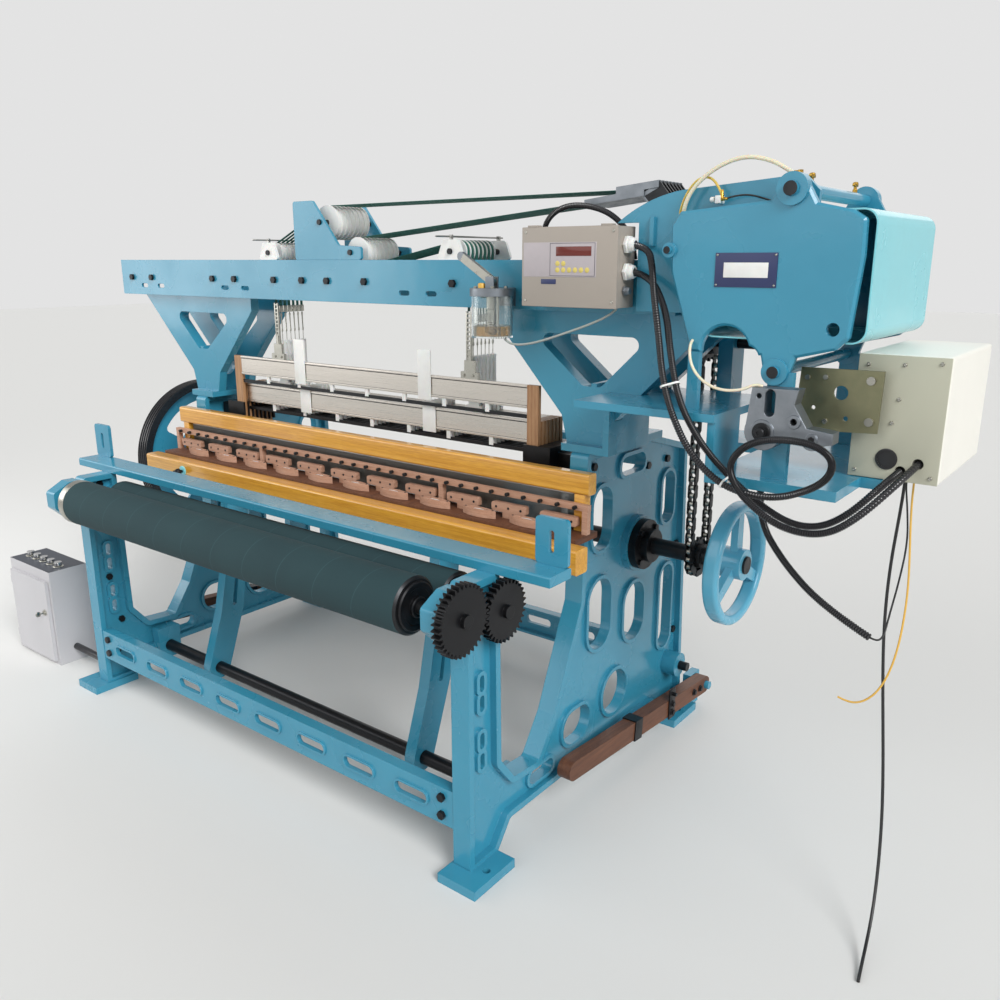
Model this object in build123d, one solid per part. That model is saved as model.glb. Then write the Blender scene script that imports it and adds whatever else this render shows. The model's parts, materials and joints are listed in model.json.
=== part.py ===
from build123d import *
import math
import os

# Main sizes, in millimetres: X runs along the cloth width, Y from weaver to warp, Z up
FRAME_X = 950.0
RIM_W = 60.0
RIM_T = 20.0
WEB_T = 16.0
LEG_TOP = 852.0
TOWER_TOP = 1090.0
CLEAR = 0.5
FINE = 0.5
SLOT_ROUND_SHARE = 0.48
BOLT_R = 10.0
BOLT_H = 8.0

# Shaft centres as Y and Z: the cloth roller stands off the take-up roller by its gears
GEAR_MODULE = 5.0
CLOTH_TEETH = 36
TAKE_UP_TEETH = 32
ROLLER_LEAN = 9.5
CRANK = (280.0, 740.0)
ROCKER = (-345.0, 110.0)
TAKE_UP = (-490.0, 760.0)
CENTRES = GEAR_MODULE * (CLOTH_TEETH + TAKE_UP_TEETH) / 2
LEAN = math.radians(ROLLER_LEAN)
CLOTH = (TAKE_UP[0] - CENTRES * math.cos(LEAN), TAKE_UP[1] + CENTRES * math.sin(LEAN))
PICK_PIVOT = (690.0, 95.0)

# Shaft radii
CRANK_R = 27.0
ROCKER_R = 22.0
ROLLER_SHAFT_R = 18.0

# Heald frames: each frame is one pitch behind the last, the first one lifted
HEALD_COUNT = 7
HEALD_PITCH = 20.0
HEALD_X = 740.0
HEALD_LIFT = 110.0
HEALD_TOP = 1265.0
HEALD_H = 370.0
HANGER_X = 470.0


# Small helpers: prisms along each axis from a flat sketch
def in_yz(sketch, x0, x1):
    return extrude(Plane.YZ.offset(x0) * sketch, x1 - x0)


def in_xz(sketch, y0, y1):
    return extrude(Plane.XZ.offset(-y1) * sketch, y1 - y0)


def in_xy(sketch, z0, z1):
    return extrude(Plane.XY.offset(z0) * sketch, z1 - z0)


def block(x0, x1, y0, y1, z0, z1):
    return Pos((x0 + x1) / 2, (y0 + y1) / 2, (z0 + z1) / 2) * Box(x1 - x0, y1 - y0, z1 - z0)


def rod_x(centre, r, x0, x1):
    return in_yz(Pos(*centre) * Circle(r), x0, x1)


def rod_y(centre, r, y0, y1):
    return in_xz(Pos(*centre) * Circle(r), y0, y1)


def rod_z(centre, r, z0, z1):
    return in_xy(Pos(*centre) * Circle(r), z0, z1)


def poly(points, r=0):
    flat = make_face(Polyline(*points, close=True))
    return fillet(flat.vertices(), r) if r else flat


def other_side(shape):
    return mirror(shape, about=Plane.YZ)


def group(pieces):
    solids = []
    for piece in pieces:
        solids.extend(piece.solids())
    return Compound(children=solids)


# Side frames: cast plate with a raised rim, a front leg, a low arch and a rear tower
FRAME_OUTLINE = [
    (-600.0, 20.0),
    (-600.0, LEG_TOP),
    (-470.0, LEG_TOP),
    (-462.0, 300.0),
    (-400.0, 222.0),
    (-285.0, 214.0),
    (-205.0, 330.0),
    (-70.0, 640.0),
    (-55.0, TOWER_TOP),
    (330.0, TOWER_TOP),
    (590.0, 1020.0),
    (640.0, 20.0),
    (480.0, 20.0),
    (430.0, 100.0),
    (-420.0, 100.0),
    (-480.0, 20.0),
]
FRAME_ROUND = 16.0
FRAME_SLOTS = [(490.0, 850.0, 84.0, 180.0), (506.0, 445.0, 88.0, 310.0), (240.0, 1010.0, 150.0, 60.0)]
ARCH_SLOTS = [(-250.0, 160.0, 120.0, 44.0), (-60.0, 230.0, 150.0, 110.0), (170.0, 250.0, 150.0, 150.0)]
LEG_SLOTS = [(-530.0, z, 18.0, 46.0) for z in (557.0, 499.0, 389.0, 328.0)]
TOWER_SLOTS = [(60.0, 560.0, 130.0, 230.0), (280.0, 500.0, 130.0, 200.0), (60.0, 870.0, 110.0, 200.0)]
SLOT_RIM = 12.0
SLOT_RIM_W = 36.0
FOOT_X = (880.0, 1010.0)
FOOT_YS = ((-656.0, -480.0), (480.0, 656.0))
FOOT_T = 28.0
FOOT_BOLT_X = 980.0
FOOT_BOLT_Y = 568.0
FOOT_HOLE_R = 11.0
CRANK_BOSS_R = 92.0
ROLLER_BOSS_R = 40.0


def rounded_slot(y, z, w, h):
    return Pos(y, z) * RectangleRounded(w, h, min(w, h) * SLOT_ROUND_SHARE)


def side_frame():
    inner = FRAME_X - RIM_W
    mid = FRAME_X - RIM_W / 2
    outline = poly(FRAME_OUTLINE, FRAME_ROUND)
    rim = outline - offset(outline, -RIM_T)
    frame = in_yz(rim, inner, FRAME_X) + in_yz(outline, mid - WEB_T / 2, mid + WEB_T / 2)
    slots = FRAME_SLOTS + ARCH_SLOTS + LEG_SLOTS + TOWER_SLOTS
    holes = [rounded_slot(*slot) for slot in slots]
    for hole in holes:
        frame += in_yz(offset(hole, SLOT_RIM), mid - SLOT_RIM_W / 2, mid + SLOT_RIM_W / 2)
    frame += rod_x(CRANK, CRANK_BOSS_R, inner, FRAME_X)
    frame += rod_x(TAKE_UP, ROLLER_BOSS_R, inner, FRAME_X)
    for hole in holes:
        frame -= in_yz(hole, inner, FRAME_X)
    frame -= rod_x(CRANK, CRANK_R + CLEAR, inner, FRAME_X)
    frame -= rod_x(TAKE_UP, ROLLER_SHAFT_R + CLEAR, inner, FRAME_X)
    for y0, y1 in FOOT_YS:
        frame += block(*FOOT_X, y0, y1, 0, FOOT_T)
    for y in (-FOOT_BOLT_Y, FOOT_BOLT_Y):
        frame -= rod_z((FOOT_BOLT_X, y), FOOT_HOLE_R, 0, FOOT_T)
    return frame


# Breast beam: a folded plate over the front legs
BREAST_X = 1120.0
BREAST_Y = (-490.0, -395.0)
BREAST_Z = (LEG_TOP, 880.0)
BREAST_SKIN = 8.0
BREAST_ROUND = 6.0


def breast_beam():
    beam = block(-BREAST_X, BREAST_X, *BREAST_Y, *BREAST_Z)
    along = [e for e in beam.edges().filter_by(Axis.X) if e.center().Z > LEG_TOP + FINE]
    beam = fillet(along, BREAST_ROUND)
    under = block(
        -FRAME_X + RIM_W,
        FRAME_X - RIM_W,
        BREAST_Y[0] + BREAST_SKIN,
        BREAST_Y[1] - BREAST_SKIN,
        LEG_TOP,
        BREAST_Z[1] - BREAST_SKIN,
    )
    return beam - under


# Cross rails: slotted front and rear foot rails, and a plain upper rear rail
RAIL_X = FRAME_X - RIM_W
RAIL_Z = (135.0, 248.0)
FRONT_RAIL_Y = (-598.0, -562.0)
REAR_RAIL_Y = (590.0, 626.0)
RAIL_SKIN = 10.0
RAIL_SLOT = (120.0, 34.0)
RAIL_SLOT_PITCH = 210.0
RAIL_SLOT_COUNT = 8
RAIL_BEAD = 7.0
RAIL_BEAD_OUT = 5.0
UPPER_RAIL = (-RAIL_X, RAIL_X, 545.0, 585.0, 930.0, 1010.0)


def slotted_rail(y0, y1, front):
    web_y = (y0, y0 + RAIL_SKIN) if front else (y1 - RAIL_SKIN, y1)
    rail = block(-RAIL_X, RAIL_X, *web_y, *RAIL_Z)
    rail += block(-RAIL_X, RAIL_X, y0, y1, RAIL_Z[0], RAIL_Z[0] + RAIL_SKIN)
    rail += block(-RAIL_X, RAIL_X, y0, y1, RAIL_Z[1] - RAIL_SKIN, RAIL_Z[1])
    mid = (RAIL_Z[0] + RAIL_Z[1]) / 2
    bead_y = (y0 - RAIL_BEAD_OUT, y0 + RAIL_SKIN) if front else (y1 - RAIL_SKIN, y1 + RAIL_BEAD_OUT)
    slot = RectangleRounded(*RAIL_SLOT, RAIL_SLOT[1] * SLOT_ROUND_SHARE)
    for i in range(RAIL_SLOT_COUNT):
        x = (i - (RAIL_SLOT_COUNT - 1) / 2) * RAIL_SLOT_PITCH
        rail += in_xz(Pos(x, mid) * offset(slot, RAIL_BEAD), *bead_y)
        rail -= in_xz(Pos(x, mid) * slot, *bead_y)
    return rail


def cross_members():
    front = slotted_rail(*FRONT_RAIL_Y, True)
    rear = slotted_rail(*REAR_RAIL_Y, False)
    return group([breast_beam(), front, rear, block(*UPPER_RAIL)])


# Top beams: two channels, back to back, that carry the lifting pulleys
BEAM_X = (-1422.0, 1200.0)
BEAM_Z = (1490.0, 1630.0)
BEAM_FRONT_Y = (-50.0, -15.0)
BEAM_REAR_Y = (165.0, 200.0)
BEAM_SKIN = 9.0
BEAM_SLOTS = [-1256.0, -1137.0, -705.0, -582.0, 238.0, 354.0, 560.0]
BEAM_SLOT = (46.0, 16.0)
BEAM_SLOT_Z = 1527.0


def channel(y0, y1, web_y):
    beam = block(*BEAM_X, *web_y, *BEAM_Z)
    beam += block(*BEAM_X, y0, y1, BEAM_Z[0], BEAM_Z[0] + BEAM_SKIN)
    beam += block(*BEAM_X, y0, y1, BEAM_Z[1] - BEAM_SKIN, BEAM_Z[1])
    slot = RectangleRounded(*BEAM_SLOT, BEAM_SLOT[1] * SLOT_ROUND_SHARE)
    for x in BEAM_SLOTS:
        beam -= in_xz(Pos(x, BEAM_SLOT_Z) * slot, *web_y)
    return beam


def top_beams():
    front = channel(*BEAM_FRONT_Y, (BEAM_FRONT_Y[0], BEAM_FRONT_Y[0] + BEAM_SKIN))
    rear = channel(*BEAM_REAR_Y, (BEAM_REAR_Y[1] - BEAM_SKIN, BEAM_REAR_Y[1]))
    return group([front, rear])


# Arch brackets: forked castings from each side frame up to the top beams
FORK = [
    (900.0, 1110.0),
    (990.0, 1110.0),
    (1010.0, 1190.0),
    (1310.0, 1490.0),
    (600.0, 1490.0),
    (600.0, 1440.0),
    (830.0, 1190.0),
    (850.0, 1110.0),
]
FORK_WINDOW = [(900.0, 1280.0), (960.0, 1280.0), (1110.0, 1425.0), (720.0, 1425.0)]
FORK_ROUND = 22.0
FORK_FRONT_Y = (-15.0, 20.0)
FORK_REAR_Y = (132.0, 165.0)
FORK_SOLE = (850.0, 990.0, -45.0, 320.0, TOWER_TOP, 1112.0)
FORK_LIP = 14.0
FORK_LIP_OUT = 8.0


def fork(y0, y1):
    plate = poly(FORK) - poly(FORK_WINDOW, FORK_ROUND)
    lip = offset(poly(FORK_WINDOW, FORK_ROUND), FORK_LIP) - poly(FORK_WINDOW, FORK_ROUND)
    return in_xz(plate, y0, y1) + in_xz(lip, y0, y1 + FORK_LIP_OUT)


FORK_BOX_HOLE = (110.0, 70.0)
FORK_WALL = (930.0, 948.0, -15.0, 165.0, 1112.0, 1290.0)


def arch_bracket():
    bracket = fork(*FORK_FRONT_Y) + fork(*FORK_REAR_Y) + block(*FORK_SOLE) + block(*FORK_WALL)
    y = (FORK_WALL[2] + FORK_WALL[3]) / 2
    z = (FORK_WALL[4] + FORK_WALL[5]) / 2
    hole = Pos(y, z) * RectangleRounded(*FORK_BOX_HOLE, FORK_BOX_HOLE[1] * SLOT_ROUND_SHARE)
    return bracket - in_yz(hole, FORK_WALL[0], FORK_WALL[1])


# Frame brackets: breast end plates, roller arms, rocking shaft pedestals
END_PLATE = (-50.0, 50.0, 880.0, 1006.0)
END_PLATE_X = 1070.0
END_PLATE_Y = (-412.0, -400.0)
END_SLOT = (16.0, 60.0)
ARM_X = (892.0, 948.0)
ARM = [
    (-600.0, 690.0),
    (-600.0, 848.0),
    (-650.0, 848.0),
    (-712.0, 815.0),
    (-712.0, 758.0),
    (-640.0, 690.0),
]
ARM_ROUND = 12.0
PEDESTAL_X = (846.0, 890.0)
PEDESTAL = [(-395.0, 190.0), (-295.0, 190.0), (-300.0, 60.0), (-390.0, 60.0)]
STUB = (556.0, 212.0)
STUB_BOSS_R = 44.0
STUB_R = 16.0
STUB_FACE = 982.0
STUB_END = 1014.0
GUIDE_X = (690.0, 790.0)
GUIDE_Y = (-16.0, 136.0)
GUIDE_Z = (1000.0, 1082.0)
GUIDE_ARM = (790.0, 890.0, 30.0, 90.0, 1015.0, 1060.0)
GUIDE_GAP = 15.4
GUIDE_END = HEALD_X + CLEAR


def end_plate():
    sketch = Rectangle(END_PLATE[1] - END_PLATE[0], END_PLATE[3] - END_PLATE[2])
    slot = RectangleRounded(*END_SLOT, END_SLOT[0] * SLOT_ROUND_SHARE)
    sketch = fillet(sketch.vertices(), ARM_ROUND) - slot
    return in_xz(Pos(END_PLATE_X, (END_PLATE[2] + END_PLATE[3]) / 2) * sketch, *END_PLATE_Y)


def heald_guide():
    guide = block(*GUIDE_X, *GUIDE_Y, *GUIDE_Z) + block(*GUIDE_ARM)
    for i in range(HEALD_COUNT):
        y = i * HEALD_PITCH
        guide -= block(GUIDE_X[0], GUIDE_END, y - GUIDE_GAP / 2, y + GUIDE_GAP / 2, *GUIDE_Z)
    return guide


def roller_arm():
    arm = in_yz(poly(ARM, ARM_ROUND), *ARM_X)
    return arm - rod_x(CLOTH, ROLLER_SHAFT_R + CLEAR, *ARM_X)


def pedestal():
    foot = in_yz(poly(PEDESTAL, ARM_ROUND), *PEDESTAL_X)
    return foot - rod_x(ROCKER, ROCKER_R + CLEAR, *PEDESTAL_X)


def stub_shaft():
    seat = FRAME_X - RIM_W / 2 + WEB_T / 2
    return rod_x(STUB, STUB_BOSS_R, seat, STUB_FACE) + rod_x(STUB, STUB_R, STUB_FACE, STUB_END)


def frame_brackets():
    right = [end_plate(), roller_arm(), pedestal(), pick_pivot()]
    return group(right + [other_side(piece) for piece in right] + [stub_shaft()])


def bearings_and_guides():
    right = [heald_guide(), crank_bearing()]
    return group(right + [other_side(piece) for piece in right])


# Crank: forged shaft with two throws, flange bearings outside the frames
THROW = 60.0
THROW_X = 530.0
WEB_GAP = 50.0
THROW_WEB = 26.0
THROW_PIN_R = 22.0
THROW_WEB_R = 42.0
CRANK_X = (-1450.0, 1315.0)
FLANGE_R = 82.0
FLANGE_T = 26.0
HOUSING_R = 54.0
HOUSING_T = 52.0
FLANGE_BOLT_R = 68.0


def crankshaft():
    y, z = CRANK
    pin = (y, z - THROW)
    shaft = rod_x(CRANK, CRANK_R, *CRANK_X)
    for x in (-THROW_X, THROW_X):
        shaft -= block(x - WEB_GAP / 2, x + WEB_GAP / 2, y - CRANK_R, y + CRANK_R, z - CRANK_R, z + CRANK_R)
        cheek = Pos(*CRANK) * Circle(THROW_WEB_R) + Pos(*pin) * Circle(THROW_WEB_R)
        cheek += Pos(y, z - THROW / 2) * Rectangle(THROW_WEB_R * 2, THROW)
        for side in (-1, 1):
            a = x + side * WEB_GAP / 2
            b = a + side * THROW_WEB
            shaft += in_yz(cheek, min(a, b), max(a, b))
        shaft += rod_x(pin, THROW_PIN_R, x - WEB_GAP / 2, x + WEB_GAP / 2)
    return shaft


def crank_bearing():
    bearing = rod_x(CRANK, FLANGE_R, FRAME_X, FRAME_X + FLANGE_T)
    bearing += rod_x(CRANK, HOUSING_R, FRAME_X, FRAME_X + HOUSING_T)
    for i in range(4):
        at = math.radians(45 + i * 90)
        spot = (CRANK[0] + FLANGE_BOLT_R * math.cos(at), CRANK[1] + FLANGE_BOLT_R * math.sin(at))
        bearing += rod_x(spot, BOLT_R, FRAME_X + FLANGE_T, FRAME_X + FLANGE_T + BOLT_H)
    return bearing - rod_x(CRANK, CRANK_R + CLEAR, FRAME_X, FRAME_X + HOUSING_T)


# Handwheel: broad rounded rim on three swept spokes
WHEEL_X = (1252.0, 1300.0)
WHEEL_R = 190.0
WHEEL_RIM = 30.0
WHEEL_HUB_R = 48.0
WHEEL_HUB_X = (1236.0, 1308.0)
SPOKE_W = (44.0, 34.0)
SPOKE_T = 22.0
SPOKES = 3
RIM_ROUND = 12.0


def handwheel():
    ring = Circle(WHEEL_R) - Circle(WHEEL_R - WHEEL_RIM)
    rim = in_yz(Pos(*CRANK) * ring, *WHEEL_X)
    rim = fillet(rim.edges(), RIM_ROUND)
    mid = (WHEEL_X[0] + WHEEL_X[1]) / 2
    reach = WHEEL_R - WHEEL_RIM / 2
    wheel = rim + rod_x(CRANK, WHEEL_HUB_R, *WHEEL_HUB_X)
    half, tip = SPOKE_W[0] / 2, SPOKE_W[1] / 2
    spoke = poly([(0, -half), (reach, -tip), (reach, tip), (0, half)])
    for i in range(SPOKES):
        turned = Pos(*CRANK) * (Rot(0, 0, 90 + i * 360 / SPOKES) * spoke)
        wheel += in_yz(turned, mid - SPOKE_T / 2, mid + SPOKE_T / 2)
    return wheel - rod_x(CRANK, CRANK_R, *WHEEL_HUB_X)


# Flywheel: belt rim, dished web with curved openings, hub
FLY_X = (-1432.0, -1368.0)
FLY_R = 345.0
FLY_RIM = 34.0
FLY_WEB_T = 14.0
FLY_HUB_R = 62.0
FLY_HUB_X = (-1448.0, -1330.0)
FLY_GROOVES = 4
GROOVE_W = 10.0
GROOVE_D = 9.0
ARC_R = (150.0, 255.0)
ARC_SPAN = 58.0
ARCS = 4
ARC_ROUND = 20.0


def arc_window(start):
    a0 = math.radians(start)
    a1 = math.radians(start + ARC_SPAN)
    am = (a0 + a1) / 2
    spots = [(r * math.cos(a), r * math.sin(a)) for r in ARC_R for a in (a0, am, a1)]
    edge = ThreePointArc(*spots[:3]) + Line(spots[2], spots[5])
    edge += ThreePointArc(*spots[5:2:-1]) + Line(spots[3], spots[0])
    return fillet(make_face(edge).vertices(), ARC_ROUND)


def flywheel():
    mid = (FLY_X[0] + FLY_X[1]) / 2
    wheel = in_yz(Pos(*CRANK) * (Circle(FLY_R) - Circle(FLY_R - FLY_RIM)), *FLY_X)
    step = (FLY_X[1] - FLY_X[0]) / FLY_GROOVES
    for i in range(FLY_GROOVES):
        x = FLY_X[0] + (i + 1 / 2) * step
        groove = Circle(FLY_R) - Circle(FLY_R - GROOVE_D)
        wheel -= in_yz(Pos(*CRANK) * groove, x - GROOVE_W / 2, x + GROOVE_W / 2)
    web = Circle(FLY_R - FLY_RIM / 2)
    for i in range(ARCS):
        web -= arc_window(i * 360 / ARCS)
    wheel += in_yz(Pos(*CRANK) * web, mid - FLY_WEB_T / 2, mid + FLY_WEB_T / 2)
    wheel += rod_x(CRANK, FLY_HUB_R, *FLY_HUB_X)
    return wheel - rod_x(CRANK, CRANK_R, *FLY_HUB_X)


# Roller chain from the crank up to the dobby, on two equal sprockets
CHAIN_X = 1150.0
CHAIN_PITCH = 25.4
TEETH = 14
CHAIN_LINKS_UP = 26
CHAIN_ROLLER_R = 8.0
LINK_W = 20.0
PLATE_T = 3.0
ROLLER_HALF = 6.0
SPROCKET_HALF = 4.0
SPROCKET_SLACK = 1.2
TOOTH_OUT = 2.0
SPROCKET_HUB_R = 38.0
SPROCKET_HUB_HALF = 24.0
LINK_CORNER_SHARE = 0.42
ROLLER_SIDES = 8
PITCH_R = CHAIN_PITCH / (2 * math.sin(math.pi / TEETH))
CHAIN_RISE = CHAIN_PITCH * CHAIN_LINKS_UP
DOBBY_SHAFT = (CRANK[0], CRANK[1] + CHAIN_RISE)
DOBBY_SHAFT_R = 16.0
DOBBY_SHAFT_X = (1120.0, 1300.0)


def sprocket(centre):
    flat = Circle(PITCH_R + TOOTH_OUT)
    for i in range(TEETH):
        at = 2 * math.pi * i / TEETH
        spot = (PITCH_R * math.cos(at), PITCH_R * math.sin(at))
        flat -= Pos(*spot) * Circle(CHAIN_ROLLER_R + SPROCKET_SLACK)
    wheel = in_yz(Pos(*centre) * flat, CHAIN_X - SPROCKET_HALF, CHAIN_X + SPROCKET_HALF)
    return wheel + rod_x(centre, SPROCKET_HUB_R, CHAIN_X - SPROCKET_HUB_HALF, CHAIN_X + SPROCKET_HUB_HALF)


def chain_stations():
    y, z = CRANK
    half = TEETH // 2
    stations = []
    for i in range(CHAIN_LINKS_UP):
        stations.append((y + PITCH_R, z + i * CHAIN_PITCH))
    for i in range(half):
        at = math.pi * i / half
        stations.append((y + PITCH_R * math.cos(at), z + CHAIN_RISE + PITCH_R * math.sin(at)))
    for i in range(CHAIN_LINKS_UP):
        stations.append((y - PITCH_R, z + CHAIN_RISE - i * CHAIN_PITCH))
    for i in range(half):
        at = math.pi + math.pi * i / half
        stations.append((y + PITCH_R * math.cos(at), z + PITCH_R * math.sin(at)))
    return stations


def link_plate():
    reach = CHAIN_PITCH / 2
    side = LINK_W / 2
    slant = side * LINK_CORNER_SHARE
    half = [(reach + side, -slant), (reach + side, slant), (reach + slant, side), (-reach - slant, side)]
    return poly(half + [(-x, -z) for x, z in half])


def drive_chain():
    stations = chain_stations()
    plate = link_plate()
    inner = []
    outer = []
    for i, (y, z) in enumerate(stations):
        y2, z2 = stations[(i + 1) % len(stations)]
        turn = math.degrees(math.atan2(z2 - z, y2 - y))
        link = Pos((y + y2) / 2, (z + z2) / 2) * (Rot(0, 0, turn) * plate)
        (inner if i % 2 else outer).append(link)
    rollers = [Pos(*spot) * RegularPolygon(CHAIN_ROLLER_R, ROLLER_SIDES) for spot in stations]
    first = ROLLER_HALF + PLATE_T
    second = first + PLATE_T
    solids = [in_yz(flat, CHAIN_X - second, CHAIN_X + second) for flat in rollers]
    for side in (-1, 1):
        for flats, near, far in ((inner, ROLLER_HALF, first), (outer, first, second)):
            a = CHAIN_X + side * near
            b = CHAIN_X + side * far
            solids.extend(in_yz(flat, min(a, b), max(a, b)) for flat in flats)
    return solids[0].fuse(*solids[1:])


# Sley: rocking shaft, curved swords with their crank arms, beam, race board and reed cap
ROCKER_X = 870.0
SWORD_X = (510.0, 552.0)
SWORD_BOSS_R = 46.0
SWORD = [
    (-388.0, 128.0),
    (-318.0, 330.0),
    (-268.0, 560.0),
    (-250.0, 795.0),
    (-120.0, 795.0),
    (-165.0, 700.0),
    (-180.0, 560.0),
    (-215.0, 330.0),
    (-302.0, 92.0),
]
SWORD_WINDOW = [
    (-268.0, 340.0),
    (-225.0, 560.0),
    (-215.0, 690.0),
    (-200.0, 690.0),
    (-212.0, 560.0),
    (-250.0, 340.0),
]
SWORD_ROUND = 6.0
ARM_PIN = (-150.0, 735.0)
ARM_PIN_R = 30.0
ARM_END = (118.0, 728.0)
ARM_END_R = 40.0
ARM_BAR_H = 34.0
ARM_HEAD_R = 23.0
ARM_HEAD_T = 8.0
CRANK_ARM_X = (555.0, 585.0)
SLEY_X = 1040.0
SLEY_Y = (-250.0, -190.0)
SLEY_Z = (795.0, 868.0)
SLEY_ROUND = 8.0
RACE = (-1000.0, 1000.0, -190.0, -75.0, 858.0, 876.0)
CAP_X = 990.0
CAP_Y = (-112.0, -72.0)
CAP_Z = (985.0, 1047.0)
REED = (-930.0, 930.0, -94.0, -90.0, RACE[5], CAP_Z[0])
CAP_POST = (940.0, 975.0, -108.0, -76.0, RACE[5], CAP_Z[0])


def rocking_shaft():
    return rod_x(ROCKER, ROCKER_R, -ROCKER_X, ROCKER_X)


def sword():
    arm = in_yz(poly(SWORD) - poly(SWORD_WINDOW, SWORD_ROUND), *SWORD_X)
    arm += rod_x(ROCKER, SWORD_BOSS_R, *SWORD_X) + rod_x(ARM_PIN, ARM_PIN_R, *SWORD_X)
    head = CRANK_ARM_X[1] + CLEAR
    arm += rod_x(ARM_PIN, ARM_PIN_R / 2, SWORD_X[1], head)
    arm += rod_x(ARM_PIN, ARM_HEAD_R, head, head + ARM_HEAD_T)
    return arm - rod_x(ROCKER, ROCKER_R, *SWORD_X)


def crank_arm():
    y0, z0 = ARM_PIN
    y1, z1 = ARM_END
    bar = poly([
        (y0, z0 - ARM_BAR_H / 2),
        (y1, z1 - ARM_BAR_H / 2),
        (y1, z1 + ARM_BAR_H / 2),
        (y0, z0 + ARM_BAR_H / 2),
    ])
    flat = bar + Pos(*ARM_PIN) * Circle(ARM_PIN_R) + Pos(*ARM_END) * Circle(ARM_END_R)
    flat -= Pos(*ARM_PIN) * Circle(ARM_PIN_R / 2 + CLEAR)
    return in_yz(flat - Pos(*ARM_END) * Circle(THROW_PIN_R + CLEAR), *CRANK_ARM_X)


def sley_swords():
    return group([sword(), other_side(sword())])


def crank_arms():
    return group([crank_arm(), other_side(crank_arm())])


def sley_beam():
    beam = block(-SLEY_X, SLEY_X, *SLEY_Y, *SLEY_Z)
    return fillet(beam.edges().filter_by(Axis.X), SLEY_ROUND)


def reed_cap():
    cap = block(-CAP_X, CAP_X, *CAP_Y, *CAP_Z)
    return fillet(cap.edges().filter_by(Axis.X), SLEY_ROUND)


def sley_wood():
    return group([sley_beam(), reed_cap()])


def reed():
    return group([block(*REED), block(*CAP_POST), other_side(block(*CAP_POST))])


# Shuttles and battens: boat-shaped shuttles between wooden blocks, with a row of pegs
SHUTTLES = 10
SHUTTLE_PITCH = 180.0
SHUTTLE_L = 128.0
SHUTTLE_W = 30.0
SHUTTLE_H = 24.0
SHUTTLE_Y = -158.0
SHUTTLE_WELL = (62.0, 14.0)
SHUTTLE_WELL_D = 14.0
BATTEN_Y = (-130.0, -112.0)
BATTEN_Z = (893.0, 922.0)
BATTEN_W = 128.0
BATTEN_ROUND = 8.0
STEM_W = 44.0
PEG_RAIL_Z = (944.0, 962.0)
PEG_POSTS = (-990.0, -450.0, 450.0, 990.0)
PEG_POST_HALF = 9.0
PEG_PITCH = 60.0
PEG_R = 6.0
PEG_OUT = 12.0


def shuttle(x):
    half = SHUTTLE_L / 2
    side = SHUTTLE_W / 2
    edge = ThreePointArc((-half, 0), (0, side), (half, 0)) + ThreePointArc((half, 0), (0, -side), (-half, 0))
    hull = make_face(edge) - RectangleRounded(*SHUTTLE_WELL, SHUTTLE_WELL[1] * SLOT_ROUND_SHARE)
    floor = RACE[5] + FINE
    body = in_xy(Pos(x, SHUTTLE_Y) * hull, floor, floor + SHUTTLE_H)
    keel = in_xy(Pos(x, SHUTTLE_Y) * make_face(edge), floor, floor + SHUTTLE_H - SHUTTLE_WELL_D)
    return body + keel


def row(count, pitch):
    return [(i - (count - 1) / 2) * pitch for i in range(count)]


def shuttles():
    return group([shuttle(x) for x in row(SHUTTLES, SHUTTLE_PITCH)])


def batten(x):
    mid = (BATTEN_Z[0] + BATTEN_Z[1]) / 2
    plate = Pos(x, mid) * RectangleRounded(BATTEN_W, BATTEN_Z[1] - BATTEN_Z[0], BATTEN_ROUND)
    stem = Pos(x, (RACE[5] + mid) / 2) * Rectangle(STEM_W, mid - RACE[5])
    return in_xz(plate + stem, *BATTEN_Y)


def peg_rail():
    rail = block(RACE[0], RACE[1], *BATTEN_Y, *PEG_RAIL_Z)
    for x in PEG_POSTS:
        rail += block(x - PEG_POST_HALF, x + PEG_POST_HALF, *BATTEN_Y, RACE[5], PEG_RAIL_Z[0])
    count = int((RACE[1] - RACE[0]) / PEG_PITCH)
    mid = (PEG_RAIL_Z[0] + PEG_RAIL_Z[1]) / 2
    peg = RegularPolygon(PEG_R, 6)
    for x in row(count, PEG_PITCH):
        rail += in_xz(Pos(x, mid) * peg, BATTEN_Y[0] - PEG_OUT, BATTEN_Y[0])
    return rail


def shuttle_battens():
    plates = [batten(x) for x in row(SHUTTLES + 1, SHUTTLE_PITCH)]
    return group([block(*RACE), peg_rail()] + plates)


# Heald frames: two hollow rails, wooden posts, heald bars and two hangers each
RAIL_H = 72.0
RAIL_HALF = 6.0
POST_HALF = 7.0
POST_W = 42.0
BAR_DROP = 26.0
BAR_H = 12.0
BAR_HALF = 2.0
BAR_INSET = 10.0
HOOK_PITCH = 180.0
HOOKS = 7
HOOK_W = 16.0
HOOK_HALF = 4.0
HANGER_W = 44.0
HANGER_H = 58.0
HANGER_HALF = 4.0
EYE_W = 12.0
EYE_H = 30.0
CLAMP_W = 70.0
CLAMP_H = 22.0


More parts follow.
